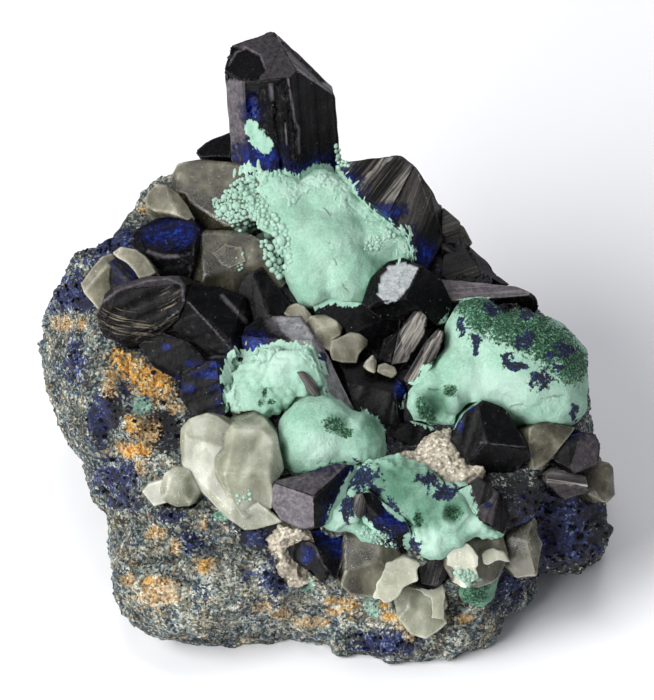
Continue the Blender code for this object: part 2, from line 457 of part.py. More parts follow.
def collection(name, hidden=False):
    made = bpy.data.collections.new(name)
    bpy.context.scene.collection.children.link(made)
    made.hide_render = hidden
    return made


def add_object(name, mesh_data, home):
    """Puts a bmesh or a mesh in the scene as an object of that collection, in the display frame."""
    if isinstance(mesh_data, bmesh.types.BMesh):
        mesh = bpy.data.meshes.new(name)
        mesh_data.to_mesh(mesh)
        mesh_data.free()
    else:
        mesh = mesh_data
    made = bpy.data.objects.new(name, mesh)
    home.objects.link(made)
    made.parent = bpy.data.objects["display_frame"]
    return made


def evaluated_mesh(obj):
    """The object's mesh with its modifiers worked in, still in the object's own frame."""
    bpy.context.view_layer.update()
    graph = bpy.context.evaluated_depsgraph_get()
    return bpy.data.meshes.new_from_object(obj.evaluated_get(graph))


def discard(obj):
    bpy.data.objects.remove(obj, do_unlink=True)


def taken_as_bmesh(obj):
    """The object's finished shape as a bmesh; the object itself goes."""
    mesh = evaluated_mesh(obj)
    discard(obj)
    taken = bmesh.new()
    taken.from_mesh(mesh)
    bpy.data.meshes.remove(mesh)
    return taken


def prism(points, travel):
    """A closed prism: the outline's face, pushed along travel."""
    bm = bmesh.new()
    face = bm.faces.new([bm.verts.new(p) for p in points])
    pushed = bmesh.ops.extrude_face_region(bm, geom=[face])["geom"]
    bmesh.ops.translate(bm, vec=travel, verts=[g for g in pushed if isinstance(g, bmesh.types.BMVert)])
    bmesh.ops.recalc_face_normals(bm, faces=bm.faces)
    return bm


def cut_facets(bm, facets):
    """Cuts a flat crystal face at each facet and closes it."""
    for place, normal in facets:
        cut = bmesh.ops.bisect_plane(
            bm, geom=bm.verts[:] + bm.edges[:] + bm.faces[:], dist=1e-7,
            plane_co=Vector(place) * MM, plane_no=unit(normal), clear_outer=True)
        rim = [g for g in cut["geom_cut"] if isinstance(g, bmesh.types.BMEdge)]
        if rim:
            bmesh.ops.edgenet_fill(bm, edges=rim)
    bmesh.ops.remove_doubles(bm, verts=bm.verts, dist=1e-6)
    bmesh.ops.recalc_face_normals(bm, faces=bm.faces)
    return bm


def crystal(outline, near, facets, lean=(0, 0)):
    """A crystal that grew towards the viewer, from its outline as seen at its first face.

    It leans that far across and up for each millimetre out, and is rooted just inside the ore.
    """
    middle = [sum(axis) / len(outline) for axis in zip(*outline)]
    far = ore_depth(*middle) - ROOT
    seen = facets[0][0][2]
    side, up = lean
    foot = [(a + side * (far - seen), b + up * (far - seen), far) for a, b in outline]
    bm = prism(to_metres(foot), Vector((side, up, 1)) * (near - far) * MM)
    return cut_facets(bm, facets)


def tower(section, foot, top, lean, facets):
    """A crystal that grew up the picture, from its section across."""
    side, out = lean
    bm = prism(to_metres([(a, foot, c) for a, c in section]),
               Vector((side, 1, out)) * (top - foot) * MM)
    return cut_facets(bm, facets)


def swollen(bm, by):
    """Moves every face out by the same distance."""
    bm.normal_update()
    moves = [(v, v.normal * v.calc_shell_factor()) for v in bm.verts]
    for vert, move in moves:
        vert.co += move * by * MM
    return bm


def ball(bm, place, half_sizes, smoothness=2):
    """Adds one squashed ball to the mesh."""
    bmesh.ops.create_icosphere(
        bm, subdivisions=smoothness, radius=MM,
        matrix=Matrix.Translation(Vector(place) * MM) @ Matrix.Diagonal((*half_sizes, 1)))


def remeshed(bm, name, voxel, home, smooth=2):
    """Whatever shapes the mesh holds, run together as one skin."""
    rough = add_object(name + "_rough", bm, home)
    remesh = rough.modifiers.new("skin", "REMESH")
    remesh.mode = "VOXEL"
    remesh.voxel_size = voxel * MM
    if smooth:
        even = rough.modifiers.new("even", "SMOOTH")
        even.iterations = smooth
    return taken_as_bmesh(rough)


def thinned(bm, name, faces, home):
    """The same shape with about that many triangles."""
    dense = add_object(name + "_dense", bm, home)
    thin = dense.modifiers.new("thin", "DECIMATE")
    thin.ratio = min(1.0, faces / (2 * len(dense.data.polygons)))
    light = taken_as_bmesh(dense)
    bmesh.ops.triangulate(light, faces=light.faces)
    return light


def roughened(bm, swells, seed=Vector()):
    """Pushes the surface in and out by smooth noise of each wavelength and height."""
    bm.normal_update()
    moves = []
    for vert in bm.verts:
        height = sum(tall * noise.noise(vert.co / (wave * MM) + seed) for wave, tall in swells)
        moves.append((vert, vert.normal * height * MM))
    for vert, move in moves:
        vert.co += move
    return bm


def combined(name, solids, home, operation="UNION"):
    """Boolean of the first solid with each of the others, as a mesh."""
    base = add_object(name, solids[0], home)
    others = [add_object(f"{name}_{i}", bm, home) for i, bm in enumerate(solids[1:])]
    for other in others:
        step = base.modifiers.new(other.name, "BOOLEAN")
        step.operation = operation
        step.object = other
        step.solver = SOLVER
    mesh = evaluated_mesh(base)
    for obj in (base, *others):
        discard(obj)
    return mesh


def worn(bm, name, home):
    """The same crystal with its edges worn round."""
    return thinned(remeshed(bm, name, WEAR_VOXEL, home, smooth=WEAR_PASSES), name, WORN_FACES, home)


def box_of(mesh):
    corners = [v.co for v in mesh.vertices]
    low = Vector(map(min, zip(*corners)))
    high = Vector(map(max, zip(*corners)))
    return low, high


def boxes_meet(first, second):
    (low_a, high_a), (low_b, high_b) = first, second
    return all(low_a[i] < high_b[i] and low_b[i] < high_a[i] for i in range(3))


def biggest_body(mesh):
    """Drops the crumbs that a cut leaves loose, so that the piece is one body."""
    bm = bmesh.new()
    bm.from_mesh(mesh)
    left = set(bm.verts)
    bodies = []
    while left:
        body, edge = set(), [left.pop()]
        while edge:
            vert = edge.pop()
            body.add(vert)
            for link in vert.link_edges:
                other = link.other_vert(vert)
                if other in left:
                    left.remove(other)
                    edge.append(other)
        bodies.append(body)
    bodies.sort(key=len)
    for body in bodies[:-1]:
        bmesh.ops.delete(bm, geom=list(body), context="VERTS")
    bm.to_mesh(mesh)
    bm.free()
    return mesh


def finish_piece(name, mesh, kind, cutters, home):
    """Cuts the piece round its elders and gives it its material."""
    piece = add_object(name, mesh, home)
    box = box_of(mesh)
    for cutter in cutters:
        if boxes_meet(box, box_of(cutter.data)):
            step = piece.modifiers.new(cutter.name, "BOOLEAN")
            step.operation = "DIFFERENCE"
            step.object = cutter
            step.solver = SOLVER
    cut = biggest_body(evaluated_mesh(piece))
    piece.modifiers.clear()
    piece.data = cut
    piece.data.materials.clear()
    piece.data.materials.append(bpy.data.materials[kind])
    piece.data.name = name
    if kind == "malachite":
        piece.data.shade_smooth()
        piece.data.set_sharp_from_angle(angle=SOFT_ANGLE)
    return piece


def add_cutter(bm, name, home):
    cutter = add_object(name + "_cutter", bm, home)
    cutter.hide_render = True
    cutter.display_type = "WIRE"
    return cutter


def crystal_cutters(solids, name, home):
    """A cutter for each crystal, larger all round by the gap."""
    return [add_cutter(swollen(bm, GAP), f"{name}_{i}", home) for i, bm in enumerate(solids)]


def make_materials():
    for name, (colour, roughness) in MATERIALS.items():
        material = bpy.data.materials.new(name)
        material.use_nodes = True
        shader = material.node_tree.nodes["Principled BSDF"]
        shader.inputs["Base Color"].default_value = (*colour, 1)
        shader.inputs["Roughness"].default_value = roughness
        material.diffuse_color = (*colour, 1)


def make_frame():
    """The empty that carries the display frame: its Y runs up the picture and its Z towards the viewer."""
    frame = bpy.data.objects.new("display_frame", None)
    bpy.context.scene.collection.objects.link(frame)
    frame.rotation_euler = (math.radians(90 - VIEW_ELEVATION), 0, 0)
    frame.location = Vector(FRAME_PLACE) * MM
    return frame


def inside(point, outline):
    """Whether the point lies inside the outline, by counting the edges that it crosses."""
    across, up = point
    hit = False
    for (a0, b0), (a1, b1) in zip(outline, outline[1:] + outline[:1]):
        if (b0 > up) != (b1 > up) and across < a0 + (up - b0) / (b1 - b0) * (a1 - a0):
            hit = not hit
    return hit


def add_beads(bm):
    """Scatters the beads over their field, each half sunk in the calcite's face."""
    rng = random.Random(11)
    low_a, high_a = min(a for a, b in BEAD_FIELD), max(a for a, b in BEAD_FIELD)
    low_b, high_b = min(b for a, b in BEAD_FIELD), max(b for a, b in BEAD_FIELD)
    placed = 0
    while placed < BEADS:
        spot = rng.uniform(low_a, high_a), rng.uniform(low_b, high_b)
        if not inside(spot, BEAD_FIELD):
            continue
        radius = rng.uniform(*BEAD_RADIUS)
        ball(bm, (*spot, out_of_face(spot[1]) + 0.9), (radius, radius, radius * 2.2), smoothness=1)
        placed += 1


def make_azurite(home, workshop):
    cutters = []
    named = {"azurite_tower": [tower(**TOWER)]}
    named.update({name: [crystal(**c) for c in group] for name, group in AZURITE.items()})
    for name, solids in named.items():
        new_cutters = crystal_cutters([bm.copy() for bm in solids], name, workshop)
        mesh = combined(name + "_whole", solids, workshop)
        finish_piece(name, mesh, "azurite", cutters, home)
        cutters += new_cutters
    return cutters


def make_calcite(home, workshop, cutters):
    for name, group in CALCITE.items():
        solids = [crystal(**c) for c in group]
        new_cutters = crystal_cutters([bm.copy() for bm in solids], name, workshop)
        if name not in CALCITE_SHARP:
            solids = [worn(bm, name, workshop) for bm in solids]
        mesh = combined(name + "_whole", solids, workshop)
        finish_piece(name, mesh, "calcite", cutters, home)
        cutters = cutters + new_cutters
    return cutters


def make_lumps(groups, kind, faces, voxel, swells, home, workshop, cutters):
    for name, balls in groups.items():
        bm = bmesh.new()
        for place, half_sizes in balls:
            ball(bm, place, half_sizes)
        if name == "malachite_main_mass":
            add_beads(bm)
        skin = remeshed(bm, name, voxel, workshop)
        skin = thinned(roughened(skin, swells), name, faces[name], workshop)
        pocket = remeshed(swollen(skin.copy(), POCKET_GAP), name, voxel, workshop, smooth=0)
        pocket = thinned(pocket, name, max(LEAST_POCKET_FACES, faces[name] * POCKET_SHARE), workshop)
        new_cutter = add_cutter(pocket, name, workshop)
        mesh = bpy.data.meshes.new(name)
        skin.to_mesh(mesh)
        skin.free()
        finish_piece(name, mesh, kind, cutters, home)
        cutters = cutters + [new_cutter]
    return cutters


def ore_block():
    """The broken block: the outline as seen, pushed through, then broken along its walls."""
    deep, proud = -46.0, 16.0
    outline = prism(to_metres([(a, b, deep) for a, b in ORE_OUTLINE]), Vector((0, 0, proud - deep)) * MM)
    back = Vector((0, BACK_WALL_Y, 0))
    turn = Matrix.Rotation(math.radians(VIEW_ELEVATION - 90), 3, "X")
    upright_walls = [
        (back, Vector((0, 1, 0.12))),
        (back + Vector((-20, 0, 0)), Vector((-0.6, 0.8, 0.1))),
        (back + Vector((22, -3, 0)), Vector((0.7, 0.7, 0.05))),
        (Vector((33.6, 0, 0)), Vector((1, 0.05, 0.1))),
        (Vector((0, 21.5, 12.0)), Vector((0.05, 0.62, 0.78))),
    ]
    walls = ORE_WALLS + [facet(turn @ place, turn @ normal) for place, normal in upright_walls]
    return outline, walls


def make_ore(home, workshop, cutters):
    outline, walls = ore_block()
    big = bmesh.new()
    bmesh.ops.create_cube(big, size=2 * CUT_SPARE * MM)
    block = cut_facets(big, walls)
    mesh = combined("ore_block", [outline, block], workshop, "INTERSECT")
    lumps = bmesh.new()
    lumps.from_mesh(mesh)
    for place, half_sizes in ORE_LUMPS:
        ball(lumps, place, half_sizes, smoothness=3)
    skin = remeshed(lumps, "ore", ORE_VOXEL, workshop, smooth=3)
    skin = thinned(roughened(skin, ORE_SWELLS, ORE_SEED), "ore", ORE_FACES, workshop)
    cut_flat_base(skin)
    mesh = bpy.data.meshes.new("ore_matrix")
    skin.to_mesh(mesh)
    skin.free()
    return finish_piece("ore_matrix", mesh, "ore", cutters, home)


def cut_flat_base(bm):
    """Cuts the lump flat where it rests, level with the floor."""
    turn = Matrix.Rotation(math.radians(VIEW_ELEVATION - 90), 3, "X")
    floor = turn @ Vector((0, 0, -FRAME_PLACE[2]))
    cut_facets(bm, [facet(floor, turn @ Vector((0, 0, -1)))])


def main():
    for obj in list(bpy.data.objects):
        bpy.data.objects.remove(obj, do_unlink=True)
    make_frame()
    make_materials()
    home = collection("azurite_and_malachite_specimen")
    workshop = collection("cutters", hidden=True)
    cutters = make_azurite(home, workshop)
    cutters = make_calcite(home, workshop, cutters)
    cutters = make_lumps(MALACHITE, "malachite", MALACHITE_FACES, MALACHITE_VOXEL, MALACHITE_SWELLS,
                         home, workshop, cutters)
    cutters = make_lumps(CRUST, "calcite_crust", CRUST_FACES, CRUST_VOXEL, CRUST_SWELLS,
                         home, workshop, cutters)
    make_ore(home, workshop, cutters)
    for cutter in cutters:
        discard(cutter)


main()
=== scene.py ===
"""Azurite and malachite specimen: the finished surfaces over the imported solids, in metres.

Each piece is worked from a copy of its own solid. Places on the display face are given in millimetres as the
viewer sees them: across to the right, up the picture and out towards the viewer.
"""

import math
import random
from functools import partial
from itertools import accumulate

import bmesh
import bpy
from mathutils import Euler, Matrix, Vector, noise
from mathutils.bvhtree import BVHTree


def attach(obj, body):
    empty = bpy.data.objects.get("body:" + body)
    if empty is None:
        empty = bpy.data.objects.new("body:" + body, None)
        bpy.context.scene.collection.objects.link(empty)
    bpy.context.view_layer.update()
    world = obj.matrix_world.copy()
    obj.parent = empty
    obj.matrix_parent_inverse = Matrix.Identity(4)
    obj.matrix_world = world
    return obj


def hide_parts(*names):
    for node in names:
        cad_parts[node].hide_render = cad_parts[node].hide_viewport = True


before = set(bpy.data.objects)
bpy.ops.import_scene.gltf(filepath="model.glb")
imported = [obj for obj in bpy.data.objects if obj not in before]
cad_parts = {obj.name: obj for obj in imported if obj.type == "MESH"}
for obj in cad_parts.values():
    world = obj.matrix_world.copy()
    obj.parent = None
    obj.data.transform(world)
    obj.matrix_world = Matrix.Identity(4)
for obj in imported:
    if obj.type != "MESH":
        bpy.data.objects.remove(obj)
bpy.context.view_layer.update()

MM = 0.001
TOUCHING = 0.001 * MM
PORTION = 200  # small shapes made at a time
VIEW_ELEVATION = 40.0  # degrees above the horizon from which the display face is seen
DISPLAY_PLACE = Vector((0.25, -4.5, 31.9))  # mm, where the display face has its origin
TO_WORLD = (
    Matrix.Translation(DISPLAY_PLACE * MM)
    @ Matrix.Rotation(math.radians(90 - VIEW_ELEVATION), 4, "X")
    @ Matrix.Scale(MM, 4)
)
TO_DISPLAY = TO_WORLD.inverted()
TO_VIEWER = (TO_WORLD.to_3x3() @ Vector((0, 0, 1))).normalized()

# How far each kind is grown past its solid, so that the gaps between the solids close.
ORE_GROWTH = 0.38
CRYSTAL_GROWTH = 0.16
CRUST_GROWTH = 0.3
FRILLED_GROWTH = 0.05  # its frills stand past it

ORE_VOXEL = 0.47
ORE_LUMPS = ((3.2, 0.6), (1.5, 0.45), (0.85, 0.32))  # wavelength and height in mm
ORE_GRAINS = 7500
RUST_GRAINS = 1500
ORE_GRAIN_RADIUS = (0.12, 0.42)  # mm
RUST_GRAIN_RADIUS = (0.2, 0.5)
DRUSE_TRIES = 16000
DRUSE_SIZE = (0.18, 0.6)  # mm across a little azurite crystal
TUFT_TRIES = 9000
TUFT_RADIUS = (0.1, 0.26)  # mm
MALACHITE_VOXEL = 0.22
MALACHITE_SWELLS = ((3.4, 0.15), (1.3, 0.07), (0.55, 0.06))
LOBE = 1.15  # mm across the lobes of its rougher places
LOBE_HEIGHT = 0.22
CALCITE_WEAR = 0.16
CALCITE_MESH = 0.45
CALCITE_SWELLS = ((3.0, 0.07), (0.9, 0.03))
BEAD_TRIES = 2000
BEAD_SPACING = 0.68  # of the sum of two beads' radii
CRUST_VOXEL = 0.2
CRUST_SWELLS = ((1.4, 0.3), (0.6, 0.24), (0.35, 0.14))

EDGE_WEAR = 0.12  # mm that an azurite crystal's edges are worn back
FACET_MESH = 0.42  # mm, longest edge of the mesh on a crystal face
FACET_ANGLE = math.radians(28)
LEDGE = 0.07  # mm, height of the growth ledges on an azurite face
LEDGE_WIDTH = 0.9
WAVINESS = 0.09
CHIP = 0.7  # mm, depth of the chips in its edges
ARC_LENGTH = 9.0  # mm along the lines for each radian, where they bend
ABOVE_ALL = 60.0  # mm out, beyond every piece


def linear(code):
    """An sRGB hex colour as the linear one that a shader takes."""
    parts = [int(code[i : i + 2], 16) / 255 for i in (1, 3, 5)]
    return (*[p / 12.92 if p <= 0.04045 else ((p + 0.055) / 1.055) ** 2.4 for p in parts], 1)


def on_display(co):
    """A point of the model as (across, up, out) in mm."""
    return TO_DISPLAY @ co


# Meshes


def solid_copy(node):
    """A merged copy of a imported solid."""
    bm = bmesh.new()
    bm.from_mesh(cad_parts[node].data)
    bmesh.ops.remove_doubles(bm, verts=bm.verts, dist=TOUCHING)
    return bm


def new_object(name, bm):
    """An object in the scene from the mesh, which it uses up."""
    mesh = bpy.data.meshes.new(name)
    bm.to_mesh(mesh)
    bm.free()
    made = bpy.data.objects.new(name, mesh)
    bpy.context.scene.collection.objects.link(made)
    return made


def applied(work, *others):
    """The mesh that the object's modifiers give. The object is removed, and so are the others."""
    graph = bpy.context.evaluated_depsgraph_get()
    made = bpy.data.meshes.new_from_object(work.evaluated_get(graph))
    for used in (work, *others):
        bpy.data.objects.remove(used)
    bm = bmesh.new()
    bm.from_mesh(made)
    bpy.data.meshes.remove(made)
    return bm


def grown(bm, by):
    """The mesh with its faces moved outward by that many mm."""
    bm.normal_update()
    moves = [(v, v.normal * min(v.calc_shell_factor(), 2.0)) for v in bm.verts]
    for vert, move in moves:
        vert.co += move * by * MM
    return bm


def reskinned(bm, voxel, passes):
    """The same form as one even skin, smoothed that many times."""
    work = new_object("work", bm)
    skin = work.modifiers.new("skin", "REMESH")
    skin.mode = "VOXEL"
    skin.voxel_size = voxel * MM
    if passes:
        work.modifiers.new("even", "SMOOTH").iterations = passes
    return applied(work)


def cut_by(bm, cutter_bm):
    """The first mesh with the second cut out of it."""
    work, cutter = new_object("work", bm), new_object("cutter", cutter_bm)
    step = work.modifiers.new("cut", "BOOLEAN")
    step.operation = "DIFFERENCE"
    step.object = cutter
    step.solver = "MANIFOLD"
    return applied(work, cutter)


def raised(bm, height_at):
    """Moves each point of the surface outward by its height in mm, and returns the heights."""
    bm.normal_update()
    heights = [height_at(vert) for vert in bm.verts]
    for vert, height in zip(bm.verts, heights):
        vert.co += vert.normal * height * MM
    return heights


def roughened(bm, swells, seed):
    """Pushes the surface in and out by noise of each wavelength and height, and returns the heights."""
    offset = Vector((seed, seed * 0.37, -seed * 0.71))
    return raised(bm, lambda v: sum(tall * noise.noise(v.co / MM / wave + offset) for wave, tall in swells))


def scattered_on(mesh, count, rng):
    """Random places on the mesh, each with the way it faces; a large face gets more of them."""
    areas = list(accumulate(p.area for p in mesh.polygons))
    picked = rng.choices(mesh.polygons, cum_weights=areas, k=count)
    return [(p.center.copy(), p.normal.copy()) for p in picked]


def piled(places, add_one):
    """One mesh of many small shapes, made in portions because operators are slow on a large mesh."""
    pile = bmesh.new()
    portion_mesh = bpy.data.meshes.new("portion")
    for start in range(0, len(places), PORTION):
        portion = bmesh.new()
        for place in places[start : start + PORTION]:
            add_one(portion, *place)
        portion.to_mesh(portion_mesh)
        portion.free()
        pile.from_mesh(portion_mesh)
    bpy.data.meshes.remove(portion_mesh)
    return pile


def finish_piece(name, bm, nodes, slot, material, marks=None, smooth=True, sharp=False):
    """Makes the piece from its mesh, with a point attribute for each mark, under the root body; hides its
    solids.
    """
    piece = new_object(name, bm)
    mesh = piece.data
    for mark, values in (marks or {}).items():
        mesh.attributes.new(mark, "FLOAT", "POINT").data.foreach_set("value", values)
    mesh.materials.append(material)
    mesh.shade_smooth() if smooth else mesh.shade_flat()
    if sharp:
        mesh.set_sharp_from_angle(angle=FACET_ANGLE)
    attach(piece, "root")
    if nodes:
        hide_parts(*nodes)
    return piece


def spot_strength(place, spots):
    """How strongly the spots mark that place: 1 in a spot's middle, 0 at its rim, -3 far from them all."""
    strongest = -3.0
    for across, up, wide, tall in spots:
        reach = ((place.x - across) / wide) ** 2 + ((place.y - up) / tall) ** 2
        strongest = max(strongest, 1 - reach)
    return strongest


def spot_marks(bm, kinds):
    """How strongly each kind of spots marks each place of the display side; they fade on what faces away."""
    bm.normal_update()
    places = [(on_display(v.co), min(0.0, 4 * v.normal.dot(TO_VIEWER))) for v in bm.verts]
    return {mark: [spot_strength(place, spots) + fade for place, fade in places]
            for mark, spots in kinds.items()}


# Materials


def fill(node, inputs):
    """Wires or sets the node's inputs, by number or by name."""
    for key, value in inputs.items():
        socket = node.inputs[key.replace("_", " ") if isinstance(key, str) else key]
        if isinstance(value, bpy.types.NodeSocket):
            node.id_data.links.new(value, socket)
        else:
            socket.default_value = value


def add_node(tree, kind, *wires, out=0, named=None, ramp=None, **settings):
    """Adds a node and returns one of its outputs.

    Its inputs come in their order, by number, or by a name with a capital; its own settings by small letters.
    """
    node = tree.nodes.new("ShaderNode" + kind)
    inputs = {**dict(enumerate(wires)), **(named or {})}
    for key, value in settings.items():
        if key[0].isupper():
            inputs[key] = value
        else:
            setattr(node, key, value)
    fill(node, inputs)
    if ramp:
        stops = node.color_ramp.elements
        while len(stops) < len(ramp):
            stops.new(1.0)
        for stop, (place, code) in zip(stops, ramp.items()):
            stop.position = place
            stop.color = linear(code)
    return node.outputs[out]


def new_material(name):
    """A material, the function that adds a node to it, and its shader."""
    material = bpy.data.materials.new(name)
    material.use_nodes = True
    tree = material.node_tree
    return material, partial(add_node, tree), tree.nodes["Principled BSDF"]


def in_mm(add):
    """The place on the object in mm."""
    return add("Mapping", add("TexCoord", out=3), Scale=(1000, 1000, 1000))


def total(add, value, *others):
    """The values added up."""
    for other in others:
        value = add("Math", value, other, operation="ADD")
    return value


def painted(add, base, layers):
    """The base colour with each paint laid over it as far as its cover goes, or multiplied into it."""
    for cover, paint, *kind in layers:
        inputs = {0: cover, 6: base, 7: linear(paint) if isinstance(paint, str) else paint}
        base = add("Mix", named=inputs, data_type="RGBA", blend_type=(*kind, "MIX")[0], out=2)
    return base


def stains(add, ramps, tone, *ragged):
    """A layer for each mark with its own ramp of colours; the ragged values break its rim."""
    layers = []
    for mark, ramp in ramps.items():
        strength = total(add, add("Attribute", attribute_name=mark, out=2), *ragged)
        layers.append((add("MapRange", strength, -0.05, 0.1), add("ValToRGB", tone, ramp=ramp)))
    return layers


def make_ore_material():
    """Ore: a granular copper ore of grains about 0.3 mm across. It looks speckled dark, with rust stains."""
    material, add, shader = new_material("granular_ore")
    place = in_mm(add)
    grains = add("TexVoronoi", place, Scale=3.4, Randomness=1.0, out=1)
    fines = add("TexVoronoi", place, Scale=7.5, Randomness=1.0, out=1)
    chance, second, third = [add("SeparateColor", grains, out=channel) for channel in range(3)]
    fine = add("MapRange", add("SeparateColor", fines), 0.0, 1.0, -0.16, 0.16)
    patch = add("TexNoise", place, Scale=0.45, Detail=8.0, Roughness=0.78)
    patch = add("MapRange", patch, 0.28, 0.72, -0.5, 0.6)
    # painted lighting: the lower front of the ore is made paler, as if lit from the front
    painted_front_light = add("MapRange", add("Attribute", attribute_name="painted_front_light", out=2), 0.0, 0.7, 0.0, 0.16)
    tone = total(add, add("Math", chance, 0.85, operation="MULTIPLY"), patch, fine, painted_front_light)
    grey = add("ValToRGB", tone, ramp={
        0.0: "#121816", 0.2: "#3e4a46", 0.45: "#76817a", 0.7: "#a6ab9c", 0.92: "#ccccb8", 1.0: "#f4f2e2"})
    navy = add("ValToRGB", tone, ramp={
        0.0: "#060a18", 0.3: "#1b2a44", 0.55: "#38516a", 0.8: "#668694", 0.95: "#9cb0b0", 1.0: "#d4dcd2"})
    brown = add("ValToRGB", tone, ramp={
        0.0: "#2a2218", 0.3: "#5e4e38", 0.6: "#957f5c", 0.88: "#bfa87c", 1.0: "#e8d8b0"})
    grain_offset = add("MapRange", third, 0.0, 1.0, -0.2, 0.2)
    zones = add("TexNoise", place, Scale=0.24, Detail=6.0, Roughness=0.75)
    zones = add("MapRange", total(add, zones, grain_offset), 0.5, 0.56)
    brown_zones = add("TexNoise", place, Scale=0.33, Detail=6.0, Roughness=0.75)
    brown_zones = add("MapRange", total(add, brown_zones, grain_offset), 0.62, 0.67)
    ragged = add("TexNoise", place, Scale=0.6, Detail=6.0, Roughness=0.8)
    ragged = add("MapRange", ragged, 0.25, 0.75, -1.5, 1.5)
    ragged = total(add, ragged, add("MapRange", third, 0.0, 1.0, -0.9, 0.9))
    stained = stains(add, {
        # near-black: the azurite druse's own colour, and painted shade in the gaps between the crystals
        "druse_and_shade": {0.0: "#020204", 0.5: "#06070f", 0.8: "#121524", 0.97: "#2a2e40", 1.0: "#6c7080"},
        "copper_blue": {0.0: "#06081a", 0.35: "#10163e", 0.65: "#1e2b6a", 0.9: "#3a4c8c", 1.0: "#7688b0"},
        "rust": {0.0: "#5a4526", 0.3: "#b08954", 0.6: "#dab47c", 0.85: "#efd6aa", 1.0: "#faeed4"},
        "orange": {0.0: "#b0701e", 0.3: "#eca440", 0.65: "#fcc868", 0.9: "#fee29c", 1.0: "#fff2cc"},
        "mint": {0.0: "#6fa690", 0.5: "#9cccb4", 1.0: "#cceadc"},
    }, tone, ragged)
    shade = add("MapRange", add("Attribute", attribute_name="height", out=2), -0.7, 0.1, 0.35, 1.0)
    relief = add("TexNoise", place, Scale=1.7, Detail=7.0, Roughness=0.8)
    shade = add("Math", shade, add("MapRange", relief, 0.36, 0.48, 0.4, 1.0), operation="MULTIPLY")
    base = painted(add, grey, [(zones, navy), (brown_zones, brown), *stained, (1.0, shade, "MULTIPLY")])
    relief = total(add, relief, add("MapRange", second, 0.0, 1.0, 0.0, 0.3))
    fill(shader, {
        "Base Color": base, "Roughness": add("MapRange", second, 0.9, 0.93, 0.85, 0.2), "IOR": 1.6,
        "Normal": add("Bump", Strength=1.0, Distance=0.0006, Height=relief)})
    return material


def make_malachite_material():
    """Malachite: a velvety skin of needles too fine to see. It looks dull mint, with hairline creases."""
    material, add, shader = new_material("velvety_malachite")
    place = in_mm(add)
    cloud = add("TexNoise", place, Scale=0.24, Detail=5.0, Roughness=0.62)
    base = add("ValToRGB", cloud, ramp={0.3: "#93c5ac", 0.45: "#a3d0b8", 0.56: "#aed8c1", 0.7: "#bbe0cc"})
    # deep: a darker green, partly the malachite's own and partly painted shade and painted shadow on the
    # balls' shaded sides
    deep = add("Attribute", attribute_name="deep", out=2)
    deep = total(add, deep, add("MapRange", cloud, 0.3, 0.7, -0.35, 0.35))
    deep = add("MapRange", deep, 0.0, 1.0, 0.0, 0.9)
    grain = add("TexNoise", place, Scale=3.2, Detail=5.0, Roughness=0.8)
    speck = add("MapRange", grain, 0.32, 0.68, 0.74, 1.12)
    bend = add("TexNoise", place, Scale=0.4, Detail=5.0, Roughness=0.7, out=1)
    bent = add("Mix", named={0: 0.6, 4: place, 5: bend}, data_type="VECTOR", out=1)
    creases = add("TexVoronoi", bent, Scale=0.2, feature="DISTANCE_TO_EDGE")
    open_at = add("MapRange", cloud, 0.5, 0.6, -0.02, 0.014)
    crease = add("MapRange", add("Math", creases, open_at, operation="SUBTRACT"), -0.012, 0.0)
    # painted shade: the creases are darkened
    painted_crease_shade = add("MapRange", crease, 0.0, 1.0, 0.6, 1.0)
    pale = add("MapRange", add("Attribute", attribute_name="pale", out=2), 0.0, 1.0, 0.0, 0.75)
    ragged = add("TexNoise", place, Scale=1.9, Detail=6.0, Roughness=0.8)
    green = stains(add, {"dark_green": {
        0.38: "#071810", 0.46: "#16402a", 0.53: "#306a4a", 0.59: "#689a76", 0.66: "#b4d6b8"}},
        grain, add("MapRange", ragged, 0.25, 0.75, -1.6, 1.6))
    crazing = add("TexVoronoi", bent, Scale=1.5, feature="DISTANCE_TO_EDGE")
    navy = stains(add, {"navy": {
        0.42: "#03060a", 0.49: "#060e1e", 0.55: "#0d2454", 0.61: "#20488e", 0.69: "#5490b4"}},
        grain, add("MapRange", ragged, 0.25, 0.75, -1.7, 1.7), add("MapRange", crazing, 0.0, 0.25, 0.7, -0.6))
    shade = add("MapRange", add("Attribute", attribute_name="height", out=2), -0.3, 0.0, 0.8, 1.0)
    base = painted(add, base, [
        (deep, "#3c7457"), (1.0, speck, "MULTIPLY"), (1.0, painted_crease_shade, "MULTIPLY"), (pale, "#c8e6d6"),
        *green, *navy, (1.0, shade, "MULTIPLY")])
    height = total(add, add("Math", crease, 0.5, operation="MULTIPLY"), grain)
    fill(shader, {
        "Base Color": base, "Roughness": 0.8, "IOR": 1.5,
        "Normal": add("Bump", Strength=0.9, Distance=0.0004, Height=height)})
    return material


